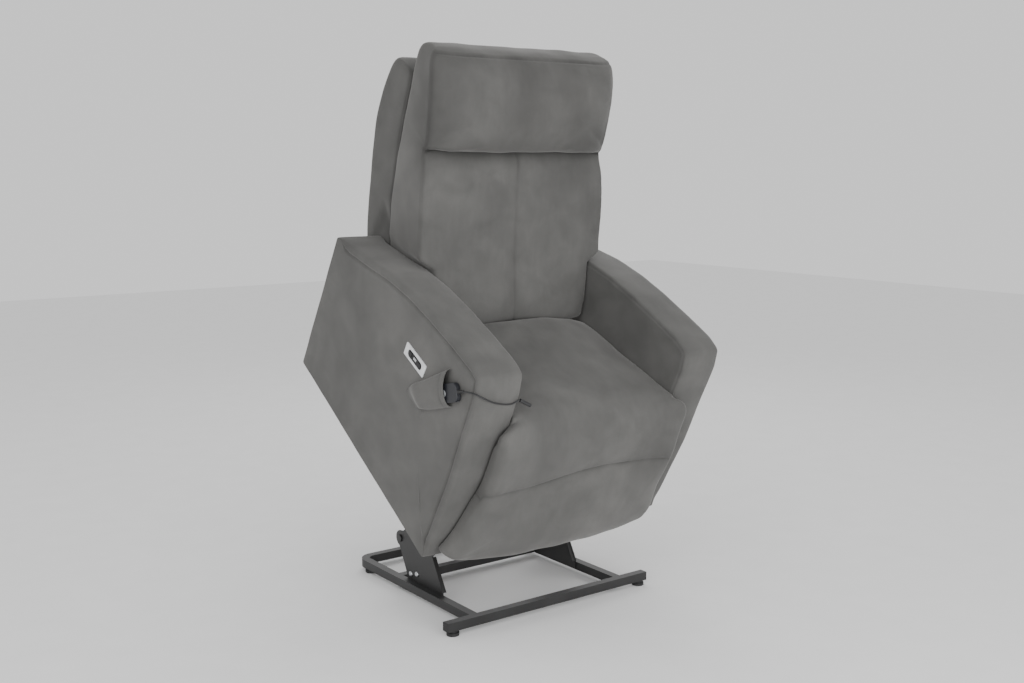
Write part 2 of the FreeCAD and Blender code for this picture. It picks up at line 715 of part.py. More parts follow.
STILE_X = (224.5, 246.5)
stile = strip(345, 930, 4.0, 44.0, *STILE_X)
rails = [strip(h, h + 50, 12.0, 34.0, -STILE_X[0], STILE_X[0]) for h in (348, 520, 700, 876)]
save_chair("back_frame", *pair(stile), *rails)
straps = [strip(h, h + 46, 0.6, 2.4, -FRAME_X, FRAME_X) for h in (420, 500, 580, 660, 740, 820)]
save_chair("back_webbing", *straps)

HINGE_PLATE_X = (254.0, 258.0)
MOVING_PLATE_X = (247.0, 251.0)
hinge_plate = fused(
    plate([(-188, 300), (-152, 300), (-146, 205), (-205, 205)], *HINGE_PLATE_X),
    rod_x(*HINGE_PLATE_X, BACK_HINGE, 18),
).cut(rod_x(HINGE_PLATE_X[0] - 1, HINGE_PLATE_X[1] + 1, BACK_HINGE, PIN_R))
arm_plate = fused(
    link(BACK_HINGE, (-100, 332), 14, *MOVING_PLATE_X),
    plate([(-112, 331), (-86, 331), (spine_s(430) + 40, 430), (spine_s(430) + 8, 430)], *MOVING_PLATE_X),
    rod_x(*MOVING_PLATE_X, BACK_HINGE, 18),
).cut(rod_x(MOVING_PLATE_X[0] - 1, MOVING_PLATE_X[1] + 1, BACK_HINGE, PIN_R + RUN_GAP))

# Recline actuator and its lever
lever_plates = []
for x in span((12, 16)):
    lever = fused(
        plate([(-98, 347.8), (-66, 347.8), (-80, 300), (-116, 238), (-139, 246), (-106, 328)], *x),
        rod_x(*x, BACK_LEVER, 12),
    )
    lever_plates.append(lever.cut(rod_x(x[0] - 1, x[1] + 1, BACK_LEVER, 5.0 + 2.1)))
save_chair("back_steel_brackets", *pair(arm_plate), *lever_plates)

recline_ears = []
for x in span((20, 24)):
    ear = fused(plate([(-445, 230), (-445, 282), (-420, 274), (-420, 246)], *x), rod_x(*x, BACK_BASE, 14))
    recline_ears.append(ear.cut(rod_x(x[0] - 1, x[1] + 1, BACK_BASE, PIN_R)))
case, can, tube = actuator_body(12, 50, 11, 20, 90, 13.0, 215.0, 42)
tube = tube.cut(rod_y(100, 216, 7.1))
case = fused(case, box(15, 28, 50, 70, -10, 10)).cut(can)
housing = [along_line(BACK_BASE, BACK_LEVER, piece) for piece in (case, tube)]
save_chair("recline_actuator_housing", *housing)
save_chair("recline_actuator_motor", along_line(BACK_BASE, BACK_LEVER, can))
recline_len = math.dist(BACK_BASE, BACK_LEVER)
rod = fused(rod_y(recline_len - 145, recline_len - 7, 7.0), rod_x(-9, 9, (recline_len, 0), 11))
rod = fused(rod, rod_x(-20, 20, (recline_len, 0), 5.0))
save_chair("recline_actuator_rod", along_line(BACK_BASE, BACK_LEVER, rod))

# Rear apron between the arms and the cloth flap that bridges it to the outer back
save_chair("rear_apron", box(-ARM_IN, ARM_IN, -25, -8, 20, 165))
flap = plate([(-20, 166), (-14, 166), (6, 240), (24, 326), (18, 326), (0, 240)], -BACK_HALF, BACK_HALF)
save_chair("rear_flap", flap)

# ---- legrest ------------------------------------------------------------------------
EAR_X = (205.0, 210.0)
ear = fused(
    plate([(-765, 300), (-765, 371), (-772, 398), (-792, 398), (-780, 360), (-777, 300)], *EAR_X),
    rod_x(*EAR_X, LEG_HINGE, 15),
).cut(rod_x(EAR_X[0] - 1, EAR_X[1] + 1, LEG_HINGE, LEG_SHAFT_R + RUN_GAP))
save_chair("seat_steel_brackets", *pair(ear), *pair(hinge_plate), *recline_ears)
shaft = rod_x(-245, 245, LEG_HINGE, LEG_SHAFT_R)
save_chair("legrest_board", box(-270, 270, -806, -794, 60, 384))
LUG_X = (226.0, 230.0)
lug = fused(
    plate([(-794, 300), (-794, 384), (-794, 400), (-776, 400), (-784, 380), (-788, 300)], *LUG_X),
    rod_x(*LUG_X, LEG_HINGE, 12.5),
)
save_chair("legrest_hinge_shaft", fused(shaft, *pair(lug)))

GEAR_X = (60.0, 84.0)
gearbox = fused(
    box(50, 110, -792, -766, 318, 376),
    rod_x(*GEAR_X, LEG_HINGE, 15),
    plate([(-794, 376), (-768, 376), (-771, 398), (-792, 398)], *GEAR_X),
    Part.makeCylinder(12.5, 90, V(80, -779, 228)),
).cut(rod_x(GEAR_X[0] - 1, GEAR_X[1] + 1, LEG_HINGE, LEG_SHAFT_R + RUN_GAP))
save_chair("legrest_gearmotor", gearbox)


def front_outline(points, s0, s1):
    """Closed face in the (x, h) plane, mirrored about x = 0, thickened along s."""
    loop = [V(x, s0, h) for x, h in points] + [V(-x, s0, h) for x, h in points[::-1]]
    return Part.Face(Part.makePolygon(loop + loop[:1])).extrude(V(0, s1 - s0, 0))


WING = -817.0
PAD_FRONT = [(-828, 389), (-838, 350), (-844, 300), (-843, 245)]
BAND_FRONT = [(-843, 238), (-855, 190), (-876, 130), (-892, 85), (-889, 54), (-866, 33)]


def panel(front_run, low, high, outline_points):
    run = front_run[::-1]
    edge = [[(-807, high), (-807, low)], [(-807, low), run[0]], run, [run[-1], (-807, high)]]
    body = slab(edge, -360, 360)
    wings = front_outline(outline_points, -1000, WING)
    middle = box(-276, 276, WING, -800, low - 5, high + 5)
    return body.common(fused(wings, middle))


pad = panel(PAD_FRONT, 241, 389, [(320, 395), (325, 300), (330, 235)])
save_chair("legrest_pad", pad)
band = panel(
    BAND_FRONT, 33, 238,
    [(330, 242), (336, 190), (344, 135), (352, 85), (351, 55), (338, 39), (300, 32), (120, 30)],
)
save_chair("legrest_lower_band", band)

fold_runs = [
    [(-770, 449), (-800, 441), (-820, 420), (-828, 391)],
    [(-828, 391), (-807, 391)],
    [(-807, 391), (-801, 412), (-786, 421), (-770, 421)],
    [(-770, 421), (-770, 449)],
]
FOLD_HALF = 314.0       # its width in front of the arms
fold_wide = slab(fold_runs, -FOLD_HALF, FOLD_HALF).common(box(-400, 400, -900, -796, 380, 460))
save_chair("seat_front_fold", fused(slab(fold_runs, -SEAT_HALF, SEAT_HALF), fold_wide))

# ---- power supply -------------------------------------------------------------------
supply = rounded(box(130, 222, -330, -190, 145, 190), 4.0, lambda c: c.x < 131)
inlet_room = box(150, 180, -205, -189, 155, 178)
save_chair("power_supply", supply.cut(inlet_room))
inlet = rounded(box(150.2, 179.8, -204.8, -189, 155.2, 177.8), 2.0, lambda c: c.y > -189.1)
inlet = inlet.cut(oval(20, 10, 0, 12).rotate(V(0, 0, 0), V(0, 0, 1), 90).translate(V(165, -200, 166.5)))
contacts = [Part.makeCylinder(1.2, 10, V(165 + d, -200.5, 166.5), V(0, 1, 0)) for d in (-4.3, 4.3)]
save_chair("power_inlet", fused(inlet, *contacts))
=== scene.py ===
import json
import math

import bpy
import numpy as np
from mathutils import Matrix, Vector, kdtree, noise


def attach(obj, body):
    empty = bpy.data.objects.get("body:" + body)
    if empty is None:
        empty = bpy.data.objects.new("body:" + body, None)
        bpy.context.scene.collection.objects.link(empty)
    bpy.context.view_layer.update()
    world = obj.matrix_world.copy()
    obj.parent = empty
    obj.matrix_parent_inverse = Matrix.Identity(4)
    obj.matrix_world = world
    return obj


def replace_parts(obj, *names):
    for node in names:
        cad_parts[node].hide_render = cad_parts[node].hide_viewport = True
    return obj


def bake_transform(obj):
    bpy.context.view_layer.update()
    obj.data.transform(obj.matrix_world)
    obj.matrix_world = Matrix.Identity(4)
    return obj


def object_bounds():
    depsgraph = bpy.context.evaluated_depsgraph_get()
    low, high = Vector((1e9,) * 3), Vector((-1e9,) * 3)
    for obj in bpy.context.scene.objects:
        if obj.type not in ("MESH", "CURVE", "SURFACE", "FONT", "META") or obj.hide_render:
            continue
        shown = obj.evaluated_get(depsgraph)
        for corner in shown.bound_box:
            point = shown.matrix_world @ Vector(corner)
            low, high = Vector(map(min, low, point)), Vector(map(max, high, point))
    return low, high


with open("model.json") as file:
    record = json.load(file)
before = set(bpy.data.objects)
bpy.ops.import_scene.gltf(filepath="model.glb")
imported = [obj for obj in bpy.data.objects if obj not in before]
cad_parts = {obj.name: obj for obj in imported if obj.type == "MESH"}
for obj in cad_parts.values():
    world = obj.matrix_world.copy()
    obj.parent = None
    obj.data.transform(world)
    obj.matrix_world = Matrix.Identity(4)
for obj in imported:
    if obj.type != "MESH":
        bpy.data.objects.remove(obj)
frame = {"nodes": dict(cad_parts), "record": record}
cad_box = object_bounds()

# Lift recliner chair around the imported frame. Chair points are (x, s, h) in millimetres:
# x across, s rearwards along the arms' bottom edge, h square to it. Meshes are in the row frame, metres.

TILT = math.radians(33.4)       # chair tilt in the lifted pose
HEEL = (0.479, 0.673)           # row y and z of the arms' rear bottom corner
MM = 0.001

ARM_OUT = 420.0
ARM_IN = 282.0
PAINTED_SHADE = "seam"                   # mesh attribute of painted shade: 1 on a seam, falling to 0 beside it, and raised over the headrest
PUFF_FRAMES = 20
SEAM_STEP = 0.003               # spacing of the points that seam distances are measured to
PUCKER_REACH = 0.014            # how far beside a seam the cloth puckers
PUCKER_SIZE = 0.011
SWELL_SIZE = 0.075
CREASE_SHADE = (0.58, 0.0045)   # painted shade as a dark line in a seam: strength, reach
NEAR_SHADE = (0.36, 0.045)      # soft shade beside a seam: strength, reach


# ---- shared geometry ----------------------------------------------------------------
def row(points):
    """Chair points in millimetres as row-frame points in metres."""
    p = np.asarray(points, float) * MM
    s, h = p[..., 1], p[..., 2]
    y = HEEL[0] + s * math.cos(TILT) - h * math.sin(TILT)
    z = HEEL[1] + s * math.sin(TILT) + h * math.cos(TILT)
    return np.stack([p[..., 0], y, z], -1)


def smoothstep(t):
    t = np.clip(t, 0.0, 1.0)
    return t * t * (3 - 2 * t)


def through(points, count):
    """Points on a smooth curve through the given ones, evenly spaced in their first two columns."""
    p = np.asarray(points, float)
    p = np.vstack([2 * p[0] - p[1], p, 2 * p[-1] - p[-2]])
    t = np.linspace(0, 1, 24, endpoint=False)[:, None]
    pieces = []
    for a, b, c, d in zip(p, p[1:], p[2:], p[3:]):
        cubic = (3 * b - a - 3 * c + d) * t ** 3 + (2 * a - 5 * b + 4 * c - d) * t ** 2
        pieces.append(0.5 * (cubic + (c - a) * t + 2 * b))
    dense = np.vstack(pieces + [p[-2][None]])
    steps = np.linalg.norm(np.diff(dense[:, :2], axis=0), axis=1)
    along = np.concatenate([[0.0], np.cumsum(steps)])
    at = np.linspace(0, along[-1], count)
    return np.stack([np.interp(at, along, column) for column in dense.T], -1)


def rounded_loop(corners, inset=0.0, spacing=16.0, arc_points=5):
    """Clockwise outline of (s, h, radius) corners, moved inwards and with rounded corners.
    Every inset gives the same number of points."""
    flat = np.array([c[:2] for c in corners], float)
    before = np.roll(flat, 1, axis=0)
    after = np.roll(flat, -1, axis=0)
    into = (flat - before) / np.linalg.norm(flat - before, axis=1)[:, None]
    out = (after - flat) / np.linalg.norm(after - flat, axis=1)[:, None]
    into_side = np.stack([into[:, 1], -into[:, 0]], -1)
    out_side = np.stack([out[:, 1], -out[:, 0]], -1)
    miter = (into_side + out_side) / (1 + np.sum(into_side * out_side, axis=1))[:, None]
    moved = flat + miter * inset
    sides = np.linalg.norm(after - flat, axis=1)
    moved_sides = np.linalg.norm(np.roll(moved, -1, axis=0) - moved, axis=1)
    cuts = []
    for i, corner in enumerate(corners):
        turn = math.acos(np.clip(np.dot(into[i], out[i]), -1, 1))
        cut = max(corner[2] - inset, 3.0) * math.tan(turn / 2)
        cuts.append(min(cut, 0.45 * moved_sides[i - 1], 0.45 * moved_sides[i]))
    loop = []
    for i, cut in enumerate(cuts):
        start = moved[i] - into[i] * cut
        end = moved[i] + out[i] * cut
        for t in np.linspace(0, 1, arc_points):
            loop.append((1 - t) ** 2 * start + 2 * t * (1 - t) * moved[i] + t * t * end)
        j = (i + 1) % len(corners)
        far = moved[j] - into[j] * cuts[j]
        inner = max(1, round(sides[i] / spacing) - 2)
        for k in range(1, inner + 1):
            loop.append(end + (far - end) * k / (inner + 1))
    return np.array(loop)


def new_object(name, verts, faces):
    """Smooth-shaded mesh object."""
    mesh = bpy.data.meshes.new(name)
    mesh.from_pydata([tuple(v) for v in verts], [], faces)
    mesh.validate()
    mesh.update()
    obj = bpy.data.objects.new(name, mesh)
    bpy.context.scene.collection.objects.link(obj)
    mesh.shade_smooth()
    return obj


def cap(ring):
    """Faces that close a ring of vertex numbers, zipped from its first point to the opposite side."""
    last = len(ring) - 1
    faces = [(ring[j], ring[j + 1], ring[last - 1 - j], ring[last - j]) for j in range((last + 1) // 2 - 1)]
    if len(ring) % 2:
        middle = len(ring) // 2
        faces.append((ring[middle - 1], ring[middle], ring[middle + 1]))
    return faces


def turned(ring, points):
    """The ring's numbers started where zipping it shut spans the least."""
    spans = []
    for start in range(len(ring)):
        moved = np.roll(points, -start, axis=0)
        spans.append(np.sum((moved - moved[::-1]) ** 2))
    start = int(np.argmin(spans))
    return ring[start:] + ring[:start]


def cover(name, rings):
    """Closed skin over rings of chair points. Point j of ring i is vertex i * len(ring) + j."""
    rings = np.asarray(rings, float)
    count, size = rings.shape[:2]
    faces = []
    for i in range(count - 1):
        for j in range(size):
            k = (j + 1) % size
            faces.append((i * size + j, i * size + k, (i + 1) * size + k, (i + 1) * size + j))
    first = turned(list(range(size)), rings[0])
    last = turned([(count - 1) * size + j for j in range(size)], rings[-1])
    faces += [face[::-1] for face in cap(first)] + cap(last)
    verts = row(rings.reshape(-1, 3))
    obj = new_object(name, verts, faces)
    centre = verts.mean(axis=0)
    middle = obj.data.polygons[(count // 2) * size + size // 4]
    if middle.normal.dot(middle.center - Vector(centre)) < 0:
        obj.data.flip_normals()
    return obj


def positions(mesh):
    """The mesh's vertices as an array."""
    flat = np.empty(len(mesh.vertices) * 3)
    mesh.vertices.foreach_get("co", flat)
    return flat.reshape(-1, 3)


def set_positions(mesh, points):
    mesh.vertices.foreach_set("co", np.asarray(points).ravel())
    mesh.update()


def puff(obj, pinned, pressure, most):
    """Blow the cover up as cloth under pressure, held at its pinned vertices and moved at most so far."""
    group = obj.vertex_groups.new(name="pinned")
    group.add([int(i) for i in pinned], 1.0, "REPLACE")
    cloth = obj.modifiers.new("puff", "CLOTH")
    settings = cloth.settings
    settings.quality = 6
    settings.mass = 0.25
    settings.tension_stiffness = 12
    settings.compression_stiffness = 12
    settings.shear_stiffness = 6
    settings.bending_stiffness = 0.6
    settings.use_pressure = True
    settings.uniform_pressure_force = pressure
    settings.vertex_group_mass = group.name
    settings.effector_weights.gravity = 0
    cloth.collision_settings.use_collision = False
    rest = positions(obj.data)
    scene = bpy.context.scene
    for number in range(1, PUFF_FRAMES + 1):
        scene.frame_set(number)
    shown = obj.evaluated_get(bpy.context.evaluated_depsgraph_get())
    moved = positions(shown.data) - rest
    obj.modifiers.remove(cloth)
    scene.frame_set(1)
    size = np.linalg.norm(moved, axis=1, keepdims=True)
    kept = most * np.tanh(size / most) / np.maximum(size, 1e-9)
    set_positions(obj.data, rest + moved * kept)
    obj.vertex_groups.clear()


def subdivided(obj):
    """Replace the mesh with its subdivision surface. Its own vertices keep their numbers."""
    modifier = obj.modifiers.new("smooth", "SUBSURF")
    modifier.levels = 1
    modifier.render_levels = 1
    shown = obj.evaluated_get(bpy.context.evaluated_depsgraph_get())
    mesh = bpy.data.meshes.new_from_object(shown)
    obj.modifiers.remove(modifier)
    old = obj.data
    obj.data = mesh
    mesh.name = obj.name
    bpy.data.meshes.remove(old)
    mesh.shade_smooth()


def waves(points, size, seed):
    """Smooth noise from -1 to 1 at each point, with bumps about that many metres across."""
    shift = Vector((seed * 7.3, seed * 3.1, seed * 5.7))
    return np.array([noise.noise(Vector(p) / size + shift) for p in points])


def sew(
    obj, lines, weights=None, depth=0.0022, width=0.0035, ridge=0.0, pucker=0.0009, swell=0.0012,
    shade_strength=1.0, nap_and_shade=None, calm=None, seed=1,
):
    """Subdivide the cover, sink its seam lines, pucker the cloth beside them, make it a little uneven and
    store painted shade along the seams.
    With a row height given, the cloth above it gets more painted shade, and near the calm line it stays flat."""
    paths = [positions(obj.data)[line] for line in lines]
    subdivided(obj)
    mesh = obj.data
    points = positions(mesh)
    normals = np.empty(len(mesh.vertices) * 3)
    mesh.vertex_normals.foreach_get("vector", normals)
    normals = normals.reshape(-1, 3)
    away = np.full(len(points), 1.0)
    sunk = np.zeros(len(points))
    shade = np.zeros(len(points))
    for path, weight in zip(paths, weights or [1.0] * len(paths)):
        dense = []
        for a, b in zip(path, path[1:]):
            steps = max(1, int(np.linalg.norm(b - a) / SEAM_STEP))
            dense += [a + (b - a) * i / steps for i in range(steps + 1)]
        tree = kdtree.KDTree(len(dense))
        for i, p in enumerate(dense):
            tree.insert(p, i)
        tree.balance()
        distance = np.array([tree.find(p)[2] for p in points])
        away = np.minimum(away, distance)
        sunk = np.maximum(sunk, weight * np.exp(-(distance / width) ** 2))
        dark = sum(strength * np.exp(-distance / reach) for strength, reach in (CREASE_SHADE, NEAR_SHADE))
        shade = np.maximum(shade, weight * dark)
    near = np.exp(-away / PUCKER_REACH)
    shift = -depth * sunk
    shift += ridge * np.exp(-((away - 2.2 * width) / width) ** 2)
    shift += pucker * near * waves(points, PUCKER_SIZE, seed)
    loose = 1 - near
    if calm is not None:
        a, b = calm
        t = np.clip((points[:, 1:] - a) @ (b - a) / ((b - a) @ (b - a)), 0, 1)
        loose *= smoothstep((np.linalg.norm(points[:, 1:] - a - t[:, None] * (b - a), axis=1) - 0.06) / 0.08)
    shift += swell * loose * waves(points, SWELL_SIZE, seed + 4)
    set_positions(mesh, points + normals * shift[:, None])
    # Painted shade along the seams, scaled by the given strength and made a little uneven; above a given row
    # height the cloth is shaded more.
    shade *= shade_strength * (0.9 + 0.7 * waves(points, 0.06, seed + 8))
    if nap_and_shade:
        above = smoothstep((points[:, 2] - nap_and_shade) / 0.03)
        shade += above * (0.27 + 0.45 * waves(points, 0.13, seed + 12)).clip(0, 0.6)
    attribute = mesh.attributes.new(PAINTED_SHADE, "FLOAT", "POINT")
    attribute.data.foreach_set("value", shade.astype(np.float32))


# ---- materials ----------------------------------------------------------------------
class Surface:
    """A principled material with short ways to feed it."""

    def __init__(self, name, colour, roughness, metallic=0.0, **sockets):
        self.material = bpy.data.materials.new(name)
        self.material.use_nodes = True
        self.tree = self.material.node_tree
        self.bsdf = self.tree.nodes["Principled BSDF"]
        self.bsdf.inputs["Base Color"].default_value = (*colour, 1.0)
        self.bsdf.inputs["Roughness"].default_value = roughness
        self.bsdf.inputs["Metallic"].default_value = metallic
        for socket, value in sockets.items():
            self.bsdf.inputs[socket.replace("_", " ")].default_value = value
        self.coordinates = self.tree.nodes.new("ShaderNodeTexCoord").outputs["Object"]

    def node(self, kind, **values):
        made = self.tree.nodes.new(kind)
        for key, value in values.items():
            setattr(made, key, value)
        return made

    def link(self, output, socket):
        self.tree.links.new(output, socket)

    def noise(self, scale, detail=3.0, stretch=(1, 1, 1), distortion=0.0):
        mapping = self.node("ShaderNodeMapping")
        mapping.inputs["Scale"].default_value = stretch
        self.link(self.coordinates, mapping.inputs["Vector"])
        made = self.node("ShaderNodeTexNoise")
        made.inputs["Scale"].default_value = scale
        made.inputs["Detail"].default_value = detail
        made.inputs["Distortion"].default_value = distortion
        self.link(mapping.outputs["Vector"], made.inputs["Vector"])
        return made.outputs["Fac"]

    def ramp(self, value, stops):
        made = self.node("ShaderNodeValToRGB")
        elements = made.color_ramp.elements
        while len(elements) < len(stops):
            elements.new(0.5)
        for element, (place, colour) in zip(elements, stops):
            element.position = place
            element.color = (*colour, 1.0)
        self.link(value, made.inputs["Fac"])
        return made.outputs["Color"]

    def mix(self, factor, a, b, blend="MIX"):
        made = self.node("ShaderNodeMix", data_type="RGBA", blend_type=blend)
        for socket, value in ((made.inputs[0], factor), (made.inputs[6], a), (made.inputs[7], b)):
            if isinstance(value, bpy.types.NodeSocket):
                self.link(value, socket)
            elif isinstance(value, tuple):
                socket.default_value = (*value, 1.0)
            else:
                socket.default_value = value
        return made.outputs[2]

    def scaled(self, value, low, high):
        made = self.node("ShaderNodeMapRange")
        made.inputs["To Min"].default_value = low
        made.inputs["To Max"].default_value = high
        self.link(value, made.inputs["Value"])
        return made.outputs["Result"]

    def bump(self, layers):
        """Stack of (height, strength, distance in metres) bumps."""
        normal = None
        for height, strength, distance in layers:
            made = self.node("ShaderNodeBump")
            made.inputs["Strength"].default_value = strength
            made.inputs["Distance"].default_value = distance
            self.link(height, made.inputs["Height"])
            if normal is not None:
                self.link(normal, made.inputs["Normal"])
            normal = made.outputs["Normal"]
        self.link(normal, self.bsdf.inputs["Normal"])

    def colour(self, output):
        self.link(output, self.bsdf.inputs["Base Color"])

    def roughness(self, output):
        self.link(output, self.bsdf.inputs["Roughness"])


SUEDE_DARK = (0.071, 0.070, 0.0675)
SUEDE_MIDDLE = (0.088, 0.087, 0.0835)
SUEDE_LIGHT = (0.112, 0.110, 0.1055)
# Painted shade colour that the suede darkens towards along seams and creases
SUEDE_PAINTED_SHADE = (0.024, 0.0235, 0.0225)


def suede():
    """Brushed faux suede: cloudy pile, fine fibres and painted shade along the seams."""
    made = Surface("suede", SUEDE_MIDDLE, 0.8, Sheen_Weight=0.22, Sheen_Roughness=0.45)
    made.bsdf.inputs["Sheen Tint"].default_value = (0.86, 0.85, 0.83, 1.0)
    made.bsdf.inputs["Specular IOR Level"].default_value = 0.25
    cloud = made.noise(3.6, 3.0, distortion=0.6)
    patches = made.noise(13.0, 4.0, (1.0, 0.8, 1.0), 0.6)
    brushed = made.noise(60.0, 3.0, (1.0, 0.35, 0.35))
    fibre = made.noise(1500.0, 2.0)
    base = made.ramp(cloud, [(0.30, SUEDE_DARK), (0.52, SUEDE_MIDDLE), (0.74, SUEDE_LIGHT)])
    broken = made.ramp(patches, [(0.30, (0.39, 0.39, 0.39)), (0.70, (0.61, 0.61, 0.61))])
    soft = made.mix(0.45, base, broken, "OVERLAY")
    strokes = made.ramp(brushed, [(0.35, (0.3, 0.3, 0.3)), (0.65, (0.7, 0.7, 0.7))])
    streaked = made.mix(0.07, soft, strokes, "OVERLAY")
    nap_and_shade = made.ramp(fibre, [(0.30, (0.25, 0.25, 0.25)), (0.70, (0.75, 0.75, 0.75))])
    napped = made.mix(0.25, streaked, nap_and_shade, "OVERLAY")
    # Painted shade: the stored shade attribute darkens the suede along seams and creases.
    seam = made.node("ShaderNodeAttribute", attribute_name=PAINTED_SHADE)
    dark = made.scaled(seam.outputs["Fac"], 0.0, 0.72)
    made.colour(made.mix(dark, napped, SUEDE_PAINTED_SHADE))
    made.roughness(made.scaled(patches, 0.74, 0.92))
    made.bump([(brushed, 0.06, 0.0010), (fibre, 0.20, 0.00035)])
    return made.material


def powder_coat(name, colour, roughness):
    made = Surface(name, colour, roughness, Coat_Weight=0.12)
    made.bsdf.inputs["Coat Roughness"].default_value = 0.35
    grain = made.noise(900.0, 2.0)
    cloud = made.noise(14.0, 3.0)
    lighter = tuple(c * 1.45 for c in colour)
    darker = tuple(c * 0.75 for c in colour)
    made.colour(made.ramp(cloud, [(0.3, darker), (0.7, lighter)]))
    made.roughness(made.scaled(cloud, roughness - 0.06, roughness + 0.08))
    made.bump([(grain, 0.12, 0.0003)])
    return made.material


def moulded(name, colour, roughness, grain_scale=1300.0, strength=0.12):
    made = Surface(name, colour, roughness)
    grain = made.noise(grain_scale, 2.0)
    cloud = made.noise(30.0, 3.0)
    darker = tuple(c * 0.88 for c in colour)
    lighter = tuple(c * 1.1 for c in colour)
    made.colour(made.ramp(cloud, [(0.3, darker), (0.7, lighter)]))
    made.roughness(made.scaled(cloud, roughness - 0.04, roughness + 0.06))
    made.bump([(grain, strength, 0.0002)])
    return made.material


def metal(name, colour, roughness, stretch=(1, 1, 1)):
    made = Surface(name, colour, roughness, metallic=1.0)
    brushed = made.noise(300.0, 3.0, stretch)
    stain = made.noise(22.0, 4.0)
    made.colour(made.ramp(stain, [(0.3, tuple(c * 0.82 for c in colour)), (0.7, colour)]))
    made.roughness(made.scaled(brushed, roughness - 0.08, roughness + 0.12))
    made.bump([(brushed, 0.06, 0.0002)])
    return made.material


def timber():
    made = Surface("frame_timber", (0.55, 0.38, 0.22), 0.6)
    rings = made.noise(26.0, 5.0, (0.25, 1.6, 1.6), 1.2)
    pores = made.noise(240.0, 2.0, (0.12, 1.0, 1.0))
    wood = made.ramp(rings, [(0.3, (0.42, 0.27, 0.14)), (0.5, (0.58, 0.40, 0.23)), (0.7, (0.66, 0.49, 0.30))])
    open_grain = made.ramp(pores, [(0.4, (0.3, 0.3, 0.3)), (0.6, (0.7, 0.7, 0.7))])
    made.colour(made.mix(0.3, wood, open_grain, "OVERLAY"))
    made.bump([(pores, 0.2, 0.0004)])
    return made.material


def nonwoven():
    """Thin black lining cloth with a bonded-dot pattern."""
    made = Surface("lining_cloth", (0.02, 0.02, 0.021), 0.85)
    dots = made.node("ShaderNodeTexVoronoi")
    dots.inputs["Scale"].default_value = 620.0
    made.link(made.coordinates, dots.inputs["Vector"])
    cloud = made.noise(60.0, 4.0)
    made.colour(made.ramp(cloud, [(0.3, (0.014, 0.014, 0.015)), (0.7, (0.032, 0.032, 0.034))]))
    made.bump([(dots.outputs["Distance"], 0.3, 0.0004)])
    return made.material


SUEDE = suede()
FINISHES = {
    "base_steel": powder_coat("black_powder_coat", (0.010, 0.0098, 0.010), 0.45),
    "black_plastic": moulded("black_plastic", (0.009, 0.009, 0.0095), 0.55),
    "bright_steel": metal("zinc_plated_steel", (0.62, 0.63, 0.65), 0.3),
    "nylon": moulded("natural_nylon", (0.75, 0.73, 0.66), 0.4),
    "motor_paint": powder_coat("motor_enamel", (0.03, 0.031, 0.034), 0.3),
    "actuator_aluminium": metal("drawn_aluminium", (0.75, 0.76, 0.78), 0.28, (4, 0.3, 0.3)),
    "frame_wood": timber(),
    "lining_cloth": nonwoven(),
    "upholstery": SUEDE,
    "silver_plastic": moulded("silver_plastic", (0.66, 0.67, 0.68), 0.3, 2200.0, 0.05),
    "pale_plastic": moulded("pale_plastic", (0.55, 0.56, 0.57), 0.4),
    "handset_plastic": moulded("handset_plastic", (0.013, 0.014, 0.018), 0.42),
    "button_plastic": moulded("button_plastic", (0.34, 0.35, 0.36), 0.42),
    "cord_jacket": moulded("cord_jacket", (0.012, 0.012, 0.013), 0.42, 1800.0, 0.08),
}


def paint(obj, material):
    obj.data.materials.clear()
    obj.data.materials.append(material)


def paint_frame():
    """Give every carried-over CAD node the finish its record slot names."""
    slots = {part["node"]: part["material_slot"] for part in frame["record"]["subparts"]}
    for name, obj in frame["nodes"].items():
        finish = FINISHES[slots[name]]
        for place in obj.material_slots:
            place.material = finish
        if not obj.material_slots:
            obj.data.materials.append(finish)


# ---- arms ---------------------------------------------------------------------------
ARM_CORNERS = [
    (-812, 0, 8), (-815, 77, 200), (-804, 280, 400), (-785, 417, 300), (-770, 541, 80), (-752, 594, 24),
    (-703, 602, 90), (-601, 597, 300), (-490, 588, 300), (-379, 574, 300), (-263, 548, 300), (-170, 517, 300),
    (-63, 486, 150), (19, 465, 12), (0, 0, 8),
]
# Section across an arm, outer face to inner face: (distance from the chair's middle, inset of the outline)
ARM_OUTER = [(420.0, 60), (420.0, 42), (419.6, 31), (418.4, 25.5), (415.6, 22.0), (418.2, 18.5), (418.4, 13)]
ARM_BAND = [
    (416.6, 6.5), (412, 2.6), (404, 0.6), (388, 0), (364, -1.6), (340, -1.8), (318, -1.0), (302, 0.0),
    (292, 1.2),
]
ARM_INNER = [(286.0, 4), (283.8, 7.5), (284.2, 10.5), (282.8, 14), (282.3, 24), (282.1, 40), (282.0, 60)]
ARM_CORE = ((-560.0, 330.0), (-190.0, 250.0))   # line that the side panels' rings close on
ARM_CLOSING = (0.22, 0.42, 0.62, 0.80)          # how far each of those rings has closed
ARM_CRISP = 0.08        # share of the rounding left at the bottom and rear edges


def towards_core(loop, share):
    """The loop moved part of the way to the nearest places on the arm's core line."""
    a, b = (np.array(p) for p in ARM_CORE)
    t = np.clip((loop - a) @ (b - a) / ((b - a) @ (b - a)), 0, 1)
    return loop + (a + t[:, None] * (b - a) - loop) * share


